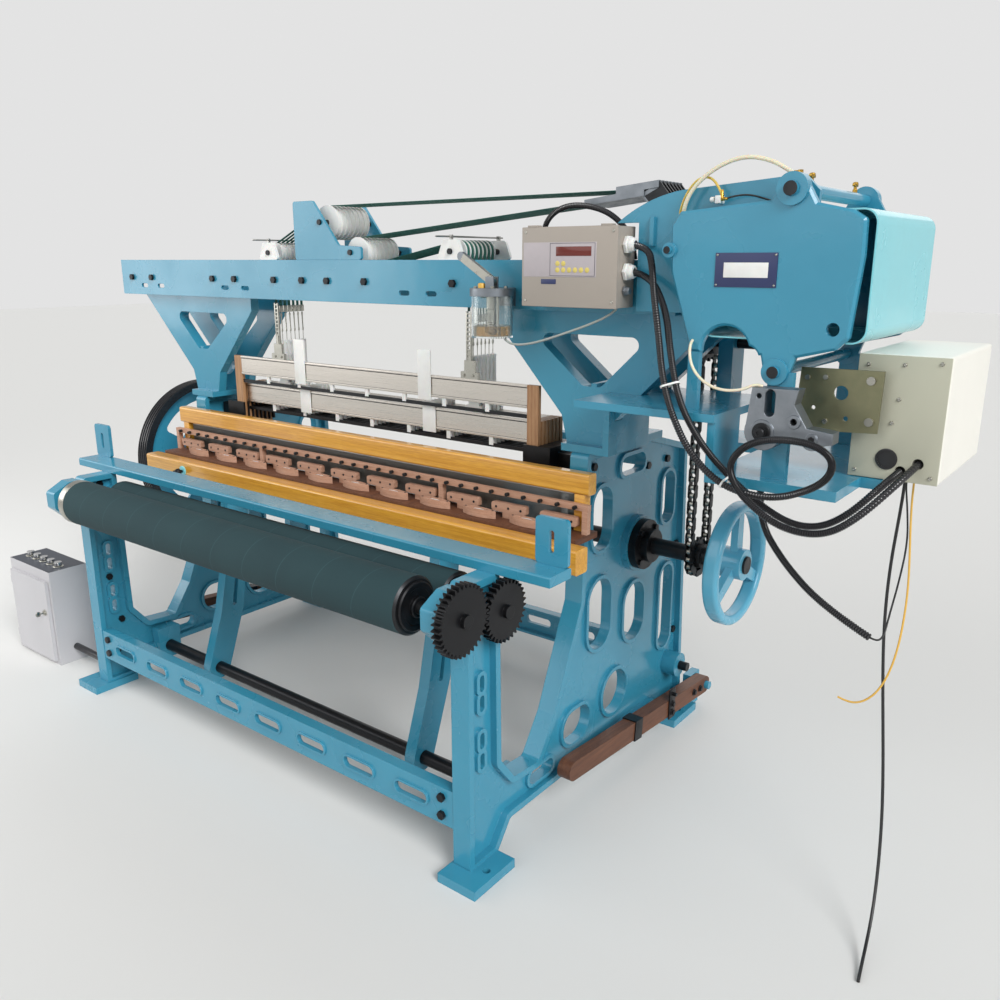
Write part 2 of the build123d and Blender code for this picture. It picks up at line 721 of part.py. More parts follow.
def heald_frame(index):
    y = index * HEALD_PITCH
    top = HEALD_TOP if index == 0 else HEALD_TOP - HEALD_LIFT
    low = top - HEALD_H
    post_in = HEALD_X - POST_W
    frame = block(-HEALD_X, HEALD_X, y - RAIL_HALF, y + RAIL_HALF, top - RAIL_H, top)
    frame += block(-HEALD_X, HEALD_X, y - RAIL_HALF, y + RAIL_HALF, low, low + RAIL_H)
    for side in (-1, 1):
        a = side * post_in
        b = side * HEALD_X
        frame += block(min(a, b), max(a, b), y - POST_HALF, y + POST_HALF, low, top)
    reach = post_in + BAR_INSET
    upper = top - RAIL_H - BAR_DROP
    lower = low + RAIL_H + BAR_DROP
    for z in (upper, lower):
        frame += block(-reach, reach, y - BAR_HALF, y + BAR_HALF, z - BAR_H / 2, z + BAR_H / 2)
    for x in row(HOOKS, HOOK_PITCH):
        half = HOOK_W / 2
        frame += block(x - half, x + half, y - HOOK_HALF, y + HOOK_HALF, upper, top - RAIL_H)
        frame += block(x - half, x + half, y - HOOK_HALF, y + HOOK_HALF, low + RAIL_H, lower)
    for x in (-HANGER_X, HANGER_X):
        plate = (x - HANGER_W / 2, x + HANGER_W / 2)
        eye = (x - EYE_W / 2, x + EYE_W / 2)
        clamp = (x - CLAMP_W / 2, x + CLAMP_W / 2)
        frame += block(*plate, y - HANGER_HALF, y + HANGER_HALF, top, top + HANGER_H)
        frame += block(*eye, y - HANGER_HALF, y + HANGER_HALF, top + HANGER_H, top + HANGER_H + EYE_H)
        frame += block(*clamp, y - RAIL_HALF, y + RAIL_HALF, top, top + CLAMP_H)
    return frame


# Rollers at the front: cloth roller and take-up roller, geared together
CLOTH_R = 78.0
TAKE_UP_R = 70.0
ROLLER_X = 826.0
ROLLER_END_X = 1000.0
GEAR_X = (962.0, 988.0)
BACKLASH = 1.6
TOOTH_TIP_SHARE = 0.55
TIP_SHARE = 0.95
ROOT_SHARE = 1.3
GEAR_CHAMFER = 6.0


def spur(centre, teeth, phase):
    pitch_r = GEAR_MODULE * teeth / 2
    tip_r = pitch_r + GEAR_MODULE * TIP_SHARE
    root_r = pitch_r - GEAR_MODULE * ROOT_SHARE
    half = (math.pi * GEAR_MODULE / 2 - BACKLASH) / 2
    spots = []
    for i in range(teeth):
        at = 2 * math.pi * (i + phase) / teeth - LEAN
        for r, wide in ((root_r, 2 - TOOTH_TIP_SHARE), (tip_r, TOOTH_TIP_SHARE)):
            spots.append((r, at - half * wide / r))
        for r, wide in ((tip_r, TOOTH_TIP_SHARE), (root_r, 2 - TOOTH_TIP_SHARE)):
            spots.append((r, at + half * wide / r))
    flat = poly([(r * math.cos(a), r * math.sin(a)) for r, a in spots])
    return in_yz(Pos(*centre) * flat, *GEAR_X)


def take_up_roller():
    roller = rod_x(TAKE_UP, TAKE_UP_R, -ROLLER_X, ROLLER_X)
    roller = chamfer(roller.edges(), GEAR_CHAMFER)
    roller += rod_x(TAKE_UP, ROLLER_SHAFT_R, -ROLLER_END_X, ROLLER_END_X)
    return roller + spur(TAKE_UP, TAKE_UP_TEETH, 1 / 2)


def cloth_roller():
    roller = rod_x(CLOTH, CLOTH_R, -ROLLER_X, ROLLER_X)
    roller = chamfer(roller.edges(), GEAR_CHAMFER)
    roller += rod_x(CLOTH, ROLLER_SHAFT_R, -ROLLER_END_X, ROLLER_END_X)
    return roller + spur(CLOTH, CLOTH_TEETH, 0)


# Lifting pulleys: sloped bracket plates on the top beams, white grooved rollers on cross shafts
PULLEY_PLATE = [
    (-285.0, BEAM_Z[1]),
    (45.0, BEAM_Z[1]),
    (45.0, 1672.0),
    (-63.0, 1678.0),
    (-183.0, 1825.0),
    (-285.0, 1825.0),
]
PULLEY_ROUND = 10.0
PULLEY_FRONT_Y = (-48.0, -38.0)
PULLEY_REAR_Y = (188.0, 198.0)
SIDE_PLATE = [(-55.0, BEAM_Z[1]), (55.0, BEAM_Z[1]), (30.0, 1690.0), (-30.0, 1690.0)]
UPPER_ROLL = (-150.0, 1754.0)
LOWER_ROLL = (-5.0, 1654.0)
LEFT_ROLL = (-434.0, 1655.0)
RIGHT_ROLL = (434.0, 1655.0)
UPPER_ROLL_R = 57.0
LOWER_ROLL_R = 50.0
SIDE_ROLL_R = 35.0
ROLL_Y = (-13.0, 133.0)
GROOVE_HALF = 7.5
GROOVE_DEEP = 4.0
ROLL_SHAFT_R = 9.0
SHAFT_Y = (-54.0, 204.0)


def pulley_brackets():
    plates = []
    for y in (PULLEY_FRONT_Y, PULLEY_REAR_Y):
        plates.append(in_xz(poly(PULLEY_PLATE, PULLEY_ROUND), *y))
        for x, z in (LEFT_ROLL, RIGHT_ROLL):
            flat = poly([(x + dx, dz) for dx, dz in SIDE_PLATE], PULLEY_ROUND)
            plates.append(in_xz(flat, *y))
    cut = [rod_y(c, ROLL_SHAFT_R, *SHAFT_Y) for c in (UPPER_ROLL, LOWER_ROLL, LEFT_ROLL, RIGHT_ROLL)]
    for hole in cut:
        plates = [plate - hole for plate in plates]
    return group(plates)


def pulley(centre, r):
    roll = rod_y(centre, r, *ROLL_Y)
    for i in range(HEALD_COUNT):
        y = i * HEALD_PITCH
        ring = Pos(*centre) * (Circle(r) - Circle(r - GROOVE_DEEP))
        roll -= in_xz(ring, y - GROOVE_HALF, y + GROOVE_HALF)
    return roll - rod_y(centre, ROLL_SHAFT_R + CLEAR, *ROLL_Y)


def pulley_shafts():
    return [rod_y(c, ROLL_SHAFT_R, *SHAFT_Y) for c in (UPPER_ROLL, LOWER_ROLL, LEFT_ROLL, RIGHT_ROLL)]


# Lifting straps: flat bands from the dobby levers over the pulleys and down to the hangers
STRAP_W = 12.0
STRAP_T = 2.4
STRAP_GAP = 0.6
STRAP_HIGH_X = 985.0
STRAP_LOW = (886.0, 1781.0)
ARC_STEPS = 16


def tangent_angle(c0, r0, c1, r1, cross):
    dx = c1[0] - c0[0]
    dz = c1[1] - c0[1]
    far = math.hypot(dx, dz)
    base = math.atan2(dz, dx)
    return base + cross * math.acos((r0 - r1) / far)


def around(c, r, a0, a1):
    turns = [a0 + (a1 - a0) * i / ARC_STEPS for i in range(ARC_STEPS + 1)]
    return [(c[0] + r * math.cos(turn), c[1] + r * math.sin(turn)) for turn in turns]


def band(points):
    left = []
    right = []
    for i, (x, z) in enumerate(points):
        before = points[max(i - 1, 0)]
        after = points[min(i + 1, len(points) - 1)]
        dx = after[0] - before[0]
        dz = after[1] - before[1]
        size = math.hypot(dx, dz)
        left.append((x - dz / size * STRAP_T / 2, z + dx / size * STRAP_T / 2))
        right.append((x + dz / size * STRAP_T / 2, z - dx / size * STRAP_T / 2))
    return poly(left + right[::-1])


def lay(r):
    return r - GROOVE_DEEP + STRAP_GAP + STRAP_T / 2


def strap_routes(low_z):
    up = lay(UPPER_ROLL_R)
    low = lay(LOWER_ROLL_R)
    side = lay(SIDE_ROLL_R)
    top = math.pi / 2
    over = tangent_angle(LEFT_ROLL, side, UPPER_ROLL, up, 1)
    left = [(STRAP_HIGH_X, UPPER_ROLL[1] + up)]
    left += around(UPPER_ROLL, up, top, over)
    left += around(LEFT_ROLL, side, over, math.pi)
    left += [(LEFT_ROLL[0] - side, low_z)]
    run = tangent_angle(LOWER_ROLL, low, STRAP_LOW, 0, 1)
    under = -tangent_angle(LOWER_ROLL, low, RIGHT_ROLL, -side, 1)
    right = [STRAP_LOW]
    right += around(LOWER_ROLL, low, run, 2 * math.pi + under)
    right += around(RIGHT_ROLL, side, math.pi + under, 0)
    right += [(RIGHT_ROLL[0] + side, low_z)]
    return [left, right]


def lifting_straps():
    pieces = []
    for index in range(HEALD_COUNT):
        y = index * HEALD_PITCH
        top = HEALD_TOP if index == 0 else HEALD_TOP - HEALD_LIFT
        for route in strap_routes(top + HANGER_H + EYE_H):
            pieces.append(in_xz(band(route), y - STRAP_W / 2, y + STRAP_W / 2))
    return group(pieces)


# Dobby: two cast plates on tie shafts, a jack guard, jack levers, cover and stand
PLATE_POINTS = [
    (1232.0, 1600.0),
    (1284.0, 1440.0),
    (1288.0, 1413.0),
    (1560.0, 1413.0),
    (1646.0, 1435.0),
    (1671.0, 1462.0),
    (1686.0, 1640.0),
    (1684.0, 1716.0),
    (1655.0, 1734.0),
    (1575.0, 1752.0),
    (1485.0, 1761.0),
    (1248.0, 1742.0),
    (1226.0, 1710.0),
]
PLATE_ROUND = 12.0
PLATE_BOSSES = [((1520.0, 1782.0), 36.0, 16.0), ((1512.0, 1378.0), 31.0, 14.0), ((1227.0, 1653.0), 18.0, 9.0)]
UPPER_LUG = [(1462.0, 1745.0), (1580.0, 1745.0), (1554.0, 1790.0), (1486.0, 1790.0)]
LOWER_LUG = [(1470.0, 1425.0), (1560.0, 1425.0), (1542.0, 1372.0), (1482.0, 1372.0)]
PLATE_ARCS = [((1383.0, 1416.0), 62.0), ((1438.0, 1404.0), 30.0)]
PLATE_HOLE = ((1635.0, 1480.0), 15.0)
PLATE_FRONT_Y = (-150.0, -130.0)
PLATE_REAR_Y = (380.0, 400.0)
PLATE_EDGE = 6.0
BOSS_OUT = 8.0
TIE_Y = (-168.0, 418.0)
COVER = (1310.0, 1704.0, -130.0, 380.0, 1448.0, 1738.0)
COVER_SKIN = 4.0
COVER_ROUND = 34.0
GUARD_Y = (-80.0, -66.0)
GUARD_ARC = [(1036.0, 1722.0), (1115.0, 1768.0), (1215.0, 1796.0)]
GUARD_EDGE = [
    (1215.0, 1796.0),
    (1520.0, 1818.0),
    (1556.0, 1782.0),
    (1556.0, 1743.0),
    (1305.0, 1743.0),
    (1305.0, 1500.0),
    (1100.0, 1500.0),
    (1100.0, 1722.0),
    (1036.0, 1722.0),
]
GUARD_RIB = (1136.0, 1148.0, 1664.0, 1735.0)
GUARD_RIB_OUT = 10.0
JACK_T = 6.0
JACK_PIVOT_R = 26.0
JACK_TAIL_R = 18.0
JACK_TAIL = (1420.0, 1600.0)
JACK_ARM = [(1060.0, 1796.0), (1112.0, 1828.0), (1248.0, 1668.0), (1206.0, 1638.0)]
JACK_HEAD = [(985.0, 1798.0), (1112.0, 1812.0), (1112.0, 1830.0), (985.0, 1818.0)]
JACK_FOOT = [(886.0, 1773.0), (1070.0, 1792.0), (1070.0, 1810.0), (886.0, 1789.0)]
JACK_HEAD_T = 13.0


def dobby_outline():
    flat = poly(PLATE_POINTS, PLATE_ROUND) + poly(UPPER_LUG) + poly(LOWER_LUG)
    for centre, r, shaft_r in PLATE_BOSSES:
        flat += Pos(*centre) * Circle(r)
    for centre, r in PLATE_ARCS:
        flat -= Pos(*centre) * Circle(r)
    return flat


def dobby_plate(y0, y1, outer, boss_y):
    plate = in_xz(dobby_outline(), y0, y1)
    plate = chamfer(plate.faces().sort_by(Axis.Y)[outer].edges(), PLATE_EDGE)
    for centre, r, shaft_r in PLATE_BOSSES:
        plate += rod_y(centre, r, *boss_y)
        plate -= rod_y(centre, shaft_r, *TIE_Y)
    return plate - rod_y(*PLATE_HOLE, y0, y1)


def dobby_front_plate():
    y0, y1 = PLATE_FRONT_Y
    return dobby_plate(y0, y1, 0, (y0 - BOSS_OUT, y1))


def dobby_rear_plate():
    y0, y1 = PLATE_REAR_Y
    return dobby_plate(y0, y1, -1, (y0, y1 + BOSS_OUT))


def jack_guard():
    flat = make_face(ThreePointArc(*GUARD_ARC) + Polyline(*GUARD_EDGE))
    guard = in_xz(flat, *GUARD_Y)
    x0, x1, z0, z1 = GUARD_RIB
    guard += block(x0, x1, GUARD_Y[0] - GUARD_RIB_OUT, GUARD_Y[0], z0, z1)
    for centre, r, shaft_r in PLATE_BOSSES:
        guard -= rod_y(centre, shaft_r, *TIE_Y)
    return guard


def tie_shafts():
    ties = [rod_y(centre, shaft_r, *TIE_Y) for centre, r, shaft_r in PLATE_BOSSES]
    return group(ties + pulley_shafts())


def jack_lever(y):
    pivot, r, shaft_r = PLATE_BOSSES[2]
    x0, z0 = pivot
    x1, z1 = JACK_TAIL
    arm = poly(JACK_ARM) + Pos(*pivot) * Circle(JACK_PIVOT_R) + Pos(*JACK_TAIL) * Circle(JACK_TAIL_R)
    arm += poly([(x0, z0 - JACK_PIVOT_R), (x1, z1 - JACK_TAIL_R), (x1, z1), (x0, z0 + JACK_PIVOT_R)])
    arm -= Pos(*pivot) * Circle(shaft_r + CLEAR)
    lever = in_xz(arm, y - JACK_T / 2, y + JACK_T / 2)
    return lever + in_xz(poly(JACK_HEAD) + poly(JACK_FOOT), y - JACK_HEAD_T / 2, y + JACK_HEAD_T / 2)


def jack_levers():
    return group([jack_lever(index * HEALD_PITCH) for index in range(HEALD_COUNT)])


def dobby_cover():
    x0, x1, y0, y1, z0, z1 = COVER
    flat = Pos((x0 + x1) / 2, (z0 + z1) / 2) * RectangleRounded(x1 - x0, z1 - z0, COVER_ROUND)
    shell = in_xz(flat, y0, y1) - in_xz(offset(flat, -COVER_SKIN), y0, y1)
    return shell - block(x0, x0 + COVER_ROUND, y0, y1, z0 + COVER_ROUND, z1 - COVER_ROUND)


# Dobby stand: shelf on the arch, hung base plates and posts
SHELF = (990.0, 1390.0, -200.0, 190.0, 1250.0, 1270.0)
SHELF_WALL = (990.0, 1010.0, -45.0, 190.0, 1090.0, 1250.0)
SHELF_HANGER = (1370.0, 1390.0, -190.0, -40.0, 1125.0, 1250.0)
SHELF_POST = (1290.0, 1319.0, *PLATE_FRONT_Y, 1270.0, 1413.0)
BASES = [
    (1370.0, 1690.0, -190.0, -10.0, 1100.0, 1125.0),
    (1370.0, 1740.0, -10.0, 212.0, 1100.0, 1125.0),
    (1195.0, 1740.0, 212.0, 400.0, 1100.0, 1125.0),
]
POST_X = (1496.0, 1556.0)
BEARING_POST = (1196.0, 1240.0, 240.0, 320.0, 1125.0, 1445.0)


def dobby_stand():
    stand = block(*SHELF) + block(*SHELF_WALL) + block(*SHELF_HANGER) + block(*SHELF_POST)
    for base in BASES:
        stand += block(*base)
    for y in (PLATE_FRONT_Y, PLATE_REAR_Y):
        stand += block(*POST_X, *y, BASES[0][5], PLATE_BOSSES[1][0][1])
        stand -= in_xz(dobby_outline(), *y)
    stand += block(*BEARING_POST)
    for y0, y1 in (FORK_FRONT_Y, FORK_REAR_Y):
        stand -= in_xz(poly(FORK), y0 - CLEAR, y1 + FORK_LIP_OUT + CLEAR)
    return stand - rod_x(DOBBY_SHAFT, DOBBY_SHAFT_R + CLEAR, BEARING_POST[0], BEARING_POST[1])


def dobby_sprocket():
    return sprocket(DOBBY_SHAFT) + rod_x(DOBBY_SHAFT, DOBBY_SHAFT_R, *DOBBY_SHAFT_X)


def crank_sprocket():
    return sprocket(CRANK) - rod_x(CRANK, CRANK_R, *CRANK_X)


# Controller: flat box with a display window and keypad, glands on its right side
CONTROLLER = (780.0, 1080.0, -150.0, -58.0, 1507.0, 1715.0)
CONTROLLER_MOUNT = (860.0, 1000.0, -58.0, -50.0, 1520.0, 1620.0)
CONTROLLER_ROUND = 10.0
WINDOW = (800.0, 920.0, 1630.0, 1690.0)
WINDOW_D = 3.0
KEY_W = 22.0
KEY_H = 14.0
KEY_OUT = 1.5
KEY_XS = [955.0, 985.0, 1015.0, 1045.0]
KEY_ZS = [1540.0, 1565.0, 1590.0, 1615.0]
GLAND_Y = -104.0
GLAND_ZS = [1668.0, 1600.0]
GLAND_R = 17.0
GLAND_OUT = 26.0
GLAND_NUT_R = 21.0
GLAND_NUT = 9.0
GLAND_SLACK = 1.5
CONDUIT_R = 8.0


def controller():
    box = block(*CONTROLLER)
    box = fillet(box.edges().filter_by(Axis.Z) + box.edges().filter_by(Axis.X), CONTROLLER_ROUND)
    y = CONTROLLER[2]
    box -= block(WINDOW[0], WINDOW[1], y, y + WINDOW_D, WINDOW[2], WINDOW[3])
    for x in KEY_XS:
        for z in KEY_ZS:
            box += block(x - KEY_W / 2, x + KEY_W / 2, y - KEY_OUT, y, z - KEY_H / 2, z + KEY_H / 2)
    box += block(*CONTROLLER_MOUNT)
    x = CONTROLLER[1]
    glands = []
    for z in GLAND_ZS:
        gland = rod_x((GLAND_Y, z), GLAND_R, x, x + GLAND_OUT)
        nut = Pos(GLAND_Y, z) * RegularPolygon(GLAND_NUT_R, 6)
        gland += in_yz(nut, x, x + GLAND_NUT)
        glands.append(gland - rod_x((GLAND_Y, z), CONDUIT_R + GLAND_SLACK, x + GLAND_NUT, x + GLAND_OUT))
    return group([box] + glands)


# Oil pump: glass pot under a cast head, with a hand lever
POT_AT = (655.0, -124.0)
POT_R = 60.0
POT_Z = (1413.0, 1530.0)
POT_SKIN = 5.0
HEAD_R = 64.0
HEAD_Z = (POT_Z[1], 1552.0)
HEAD_MOUNT = (625.0, 685.0, -70.0, -50.0, 1500.0, 1552.0)
HEAD_LUG = (640.0, 670.0, -136.0, -132.0, HEAD_Z[1], 1584.0)
LUG_STEP = 20.0
LEVER_PIN = (655.0, 1572.0)
LEVER_PIN_R = 6.0
LEVER_TIP_AT = (545.0, 1640.0)
LEVER_HALF_W = 12.0
LEVER_Y = (-131.0, -117.0)
LEVER_EYE_R = 13.0
GRIP_R = 13.0


def oil_pot():
    glass = rod_z(POT_AT, POT_R, *POT_Z)
    return glass - rod_z(POT_AT, POT_R - POT_SKIN, POT_Z[0] + POT_SKIN, POT_Z[1])


def pump_head():
    x0, x1, y0, y1, z0, z1 = HEAD_LUG
    head = rod_z(POT_AT, HEAD_R, *HEAD_Z) + block(*HEAD_MOUNT)
    head -= rod_z(POT_AT, POT_R, *POT_Z)
    head += block(x0, x1, y0, y1, z0, z1) + block(x0, x1, y0 + LUG_STEP, y1 + LUG_STEP, z0, z1)
    return head + rod_y(LEVER_PIN, LEVER_PIN_R, y0, y1 + LUG_STEP)


def pump_lever():
    dx = LEVER_TIP_AT[0] - LEVER_PIN[0]
    dz = LEVER_TIP_AT[1] - LEVER_PIN[1]
    size = math.hypot(dx, dz)
    nx = -dz / size * LEVER_HALF_W
    nz = dx / size * LEVER_HALF_W
    tips = [(LEVER_PIN[0] + nx, LEVER_PIN[1] + nz), (LEVER_PIN[0] - nx, LEVER_PIN[1] - nz)]
    tips += [(LEVER_TIP_AT[0] - nx, LEVER_TIP_AT[1] - nz), (LEVER_TIP_AT[0] + nx, LEVER_TIP_AT[1] + nz)]
    flat = poly(tips) + Pos(*LEVER_PIN) * Circle(LEVER_EYE_R) + Pos(*LEVER_TIP_AT) * Circle(GRIP_R)
    return in_xz(flat, *LEVER_Y) - rod_y(LEVER_PIN, LEVER_PIN_R + FINE, *LEVER_Y)


# Electrical cabinet with a bolted front plate, and the gear case beside it
CABINET = (1655.0, 1860.0, 0.0, 450.0, 1125.0, 1420.0)
CABINET_ROUND = 8.0
CABLE_HOLES = [(1775.0, 1150.0), (1812.0, 1172.0)]
CABLE_HOLE_R = 12.0
CABLE_HOLE_D = 30.0
FRONT_PLATE = [(1534.0, 1381.0), (1726.0, 1383.0), (1723.0, 1238.0), (1556.0, 1229.0), (1529.0, 1300.0)]
FRONT_PLATE_Y = (-34.0, -28.0)
STAND_OFFS = [(1699.0, 1360.0), (1703.0, 1264.0)]
STAND_OFF_R = 8.0
PLATE_SCREWS = [(1594.0, 1361.0), (1551.0, 1358.0), (1601.0, 1256.0)]
SCREW_R = 6.0
SCREW_H = 5.0
PLATE_HOLES = [((1632.0, 1326.0), 17.0), ((1648.0, 1266.0), 6.0), ((1570.0, 1286.0), 5.0)]
CASE = [
    (1478.0, 1344.0),
    (1660.0, 1344.0),
    (1672.0, 1300.0),
    (1672.0, 1230.0),
    (1560.0, 1224.0),
    (1474.0, 1240.0),
]
CASE_LOBES = [((1510.0, 1243.0), 44.0), ((1626.0, 1238.0), 26.0)]
CASE_SLOT = (1523.0, 1311.0, 24.0, 62.0)
CASE_Y = (-196.0, -150.0)
CASE_ROUND = 10.0
CASE_SHAFT = CASE_LOBES[0][0]
CASE_SHAFT_R = 22.0
CASE_SHAFT_OUT = 24.0
CASE_SCREWS = [(1583.0, 1274.0), (1640.0, 1322.0), (1656.0, 1250.0)]
CASE_HOLE = (1496.0, 1326.0)


def electrical_cabinet():
    box = fillet(block(*CABINET).edges(), CABINET_ROUND)
    for spot in CABLE_HOLES:
        box -= rod_y(spot, CABLE_HOLE_R, CABINET[2], CABINET[2] + CABLE_HOLE_D)
    return group([box, cabinet_plate()])


def cabinet_plate():
    plate = in_xz(poly(FRONT_PLATE), *FRONT_PLATE_Y)
    for spot in STAND_OFFS:
        plate += rod_y(spot, STAND_OFF_R, FRONT_PLATE_Y[1], CABINET[2])
        plate += rod_y(spot, BOLT_R, FRONT_PLATE_Y[0] - BOLT_H, FRONT_PLATE_Y[0])
    for spot in PLATE_SCREWS:
        plate += rod_y(spot, SCREW_R, FRONT_PLATE_Y[0] - SCREW_H, FRONT_PLATE_Y[0])
    for spot, r in PLATE_HOLES:
        plate -= rod_y(spot, r, *FRONT_PLATE_Y)
    return plate


def gear_case():
    flat = poly(CASE, CASE_ROUND)
    for centre, r in CASE_LOBES:
        flat += Pos(*centre) * Circle(r)
    flat -= rounded_slot(*CASE_SLOT) + Pos(*CASE_HOLE) * Circle(SCREW_R)
    case = in_xz(flat, *CASE_Y)
    case += rod_y(CASE_SHAFT, CASE_SHAFT_R, CASE_Y[0] - CASE_SHAFT_OUT, CASE_Y[0])
    for spot in CASE_SCREWS:
        case += rod_y(spot, BOLT_R, CASE_Y[0] - BOLT_H, CASE_Y[0])
    return case


# Floor control box: shell, lift-out door with a lock, five push buttons
DESK = (-1575.0, -1245.0, -610.0, -455.0, 0.0, 408.0)
DESK_SKIN = 4.0
DESK_LID = 10.0
DOOR_LAP = 8.0
DOOR_T = 14.0
DOOR_EDGE = 26.0
DOOR_HINGE = (-1564.5, -617.0)
HINGE_R = 6.0
KNUCKLE_ZS = [60.0, 300.0]
KNUCKLE_L = 30.0
LOCK_AT = (-1290.0, 230.0)
LOCK_R = 10.0
LOCK_OUT = 7.0
BUTTON_R = 15.0
BUTTON_H = 14.0
BUTTON_STEM_R = 9.5
BUTTON_Y = -545.0
BUTTON_PITCH = 58.0
BUTTONS = 5
BUTTON_HOLE_R = 10.0
BUTTON_GAP = 6.0
HOSE_AT = (-535.0, 62.0)
HOSE_R = 14.0


def button_xs():
    mid = (DESK[0] + DESK[1]) / 2
    return [mid + x for x in row(BUTTONS, BUTTON_PITCH)]


def desk_opening(lap):
    inset = DOOR_EDGE - lap
    return (DESK[0] + inset, DESK[1] - inset, inset, DESK[5] - DOOR_EDGE - inset)


def control_desk():
    x0, x1, y0, y1, z0, z1 = DESK
    box = block(*DESK)
    skin = DESK_SKIN
    box -= block(x0 + skin, x1 - skin, y0 + skin, y1 - skin, z0 + skin, z1 - DESK_LID)
    a, b, c, d = desk_opening(0)
    box -= block(a, b, y0, y0 + DESK_SKIN, c, d)
    for z in KNUCKLE_ZS:
        box += rod_z(DOOR_HINGE, HINGE_R, z, z + KNUCKLE_L)
        x = DOOR_HINGE[0]
        box += block(x - HINGE_R, x + HINGE_R / 2, DOOR_HINGE[1], y0, z, z + KNUCKLE_L)
    for x in button_xs():
        box -= rod_z((x, BUTTON_Y), BUTTON_HOLE_R, z1 - DESK_LID, z1)
    box += rod_x(HOSE_AT, HOSE_R, x1, -FRAME_X + RIM_W / 2 - WEB_T / 2)
    return box


def desk_door():
    a, b, c, d = desk_opening(DOOR_LAP)
    y = DESK[2] - FINE
    door = block(a, b, y - DOOR_T, y, c, d)
    lock = rod_y(LOCK_AT, LOCK_R, y - DOOR_T - LOCK_OUT, y - DOOR_T)
    return door + lock


def button(index):
    x = button_xs()[index]
    top = DESK[5] + BUTTON_GAP
    cap = rod_z((x, BUTTON_Y), BUTTON_R, top, top + BUTTON_H)
    return cap + rod_z((x, BUTTON_Y), BUTTON_STEM_R, DESK[5] - DESK_LID, top)


# Side levers: wooden bars outside the frames, pivoted at the rear
PICK_X = (985.0, 1029.0)
PICK_LEN = 900.0
PICK_H = 62.0
PICK_SLOPE = 5.0
PICK_PIN_R = 15.0
PICK_PIN_X = (955.0, 1045.0)
CLAMP_FROM = 520.0
CLAMP_LEN = 46.0
CLAMP_OUT = 4.0
PICK_POST = (952.0, 983.0, 656.0, 730.0, 0.0, 128.0)
PICK_POST_TOE = (952.0, 983.0, 600.0, 656.0, 28.0, 90.0)


def pick_lever():
    bar = Pos(-PICK_LEN / 2, 0) * RectangleRounded(PICK_LEN + PICK_H, PICK_H, PICK_H * SLOT_ROUND_SHARE)
    bar = Pos(*PICK_PIVOT) * (Rot(0, 0, -PICK_SLOPE) * bar)
    lever = in_yz(bar, *PICK_X)
    strap = Pos(-CLAMP_FROM, 0) * Rectangle(CLAMP_LEN, PICK_H + 2 * CLAMP_OUT)
    strap = Pos(*PICK_PIVOT) * (Rot(0, 0, -PICK_SLOPE) * strap)
    lever += in_yz(strap, PICK_X[0] - CLAMP_OUT, PICK_X[1] + CLAMP_OUT)
    return lever - rod_x(PICK_PIVOT, PICK_PIN_R + FINE, *PICK_X)


def pick_pivot():
    post = block(*PICK_POST) + block(*PICK_POST_TOE)
    return post + rod_x(PICK_PIVOT, PICK_PIN_R, *PICK_PIN_X)


# Bolts: one pattern of black hexagon heads over frames and beams
HEX_R = 13.0
HEX_H = 10.0
BEAM_BOLTS = [-1341.0, -1196.0, -777.0, -640.0, -407.0, -253.0, -123.0, 60.0, 445.0]
BEAM_BOLT_Z = 1560.0
LEG_BOLTS = [(-535.0, 446.0), (-530.0, 815.0), (-505.0, 262.0), (-535.0, 200.0), (-535.0, 140.0)]
RAIL_BOLT_XS = [-850.0, 850.0]
RAIL_BOLT_ZS = [165.0, 220.0]
TOWER_BOLTS = [(10.0, 1040.0), (345.0, 985.0), (478.0, 985.0), (575.0, 660.0), (586.0, 330.0)]


def hex_y(x, y, z):
    return in_xz(Pos(x, z) * RegularPolygon(HEX_R, 6), y - HEX_H, y)


def hex_x(y, z, x0, x1):
    return in_yz(Pos(y, z) * RegularPolygon(HEX_R, 6), x0, x1)


def frame_bolts():
    heads = [hex_y(x, BEAM_FRONT_Y[0], BEAM_BOLT_Z) for x in BEAM_BOLTS]
    for x in RAIL_BOLT_XS:
        heads.extend(hex_y(x, FRONT_RAIL_Y[0], z) for z in RAIL_BOLT_ZS)
    face = FRAME_X - RIM_W / 2 + WEB_T / 2
    back = FRAME_X - RIM_W / 2 - WEB_T / 2
    for y, z in LEG_BOLTS:
        head = hex_x(y, z, back - HEX_H, back)
        heads.extend([head, other_side(head)])
    for y, z in TOWER_BOLTS:
        head = hex_x(y, z, face, face + HEX_H)
        heads.extend([head, other_side(head)])
    return group(heads)


# Cords: conduits and leads as tubes along straight runs with round bends
BEND_SHARE = 0.45
CONDUIT_A = [
    (1092.0, -104.0, 1668.0),
    (1164.0, -106.0, 1664.0),
    (1222.0, -150.0, 1560.0),
    (1262.0, -205.0, 1430.0),
    (1310.0, -244.0, 1300.0),
    (1390.0, -248.0, 1175.0),
    (1510.0, -246.0, 1092.0),
    (1640.0, -240.0, 1082.0),
    (1708.0, -240.0, 1178.0),
    (1600.0, -250.0, 1245.0),
    (1458.0, -262.0, 1190.0),
    (1470.0, -275.0, 1062.0),
    (1600.0, -270.0, 1000.0),
    (1740.0, -225.0, 1045.0),
    (1808.0, -110.0, 1158.0),
    (1812.0, 24.0, 1172.0),
]
CONDUIT_B = [
    (1092.0, -104.0, 1600.0),
    (1158.0, -105.0, 1596.0),
    (1222.0, -140.0, 1500.0),
    (1282.0, -195.0, 1390.0),
    (1345.0, -222.0, 1285.0),
    (1420.0, -222.0, 1185.0),
    (1515.0, -216.0, 1110.0),
    (1640.0, -212.0, 1040.0),
    (1748.0, -170.0, 1070.0),
    (1774.0, -80.0, 1146.0),
    (1775.0, 24.0, 1150.0),
]
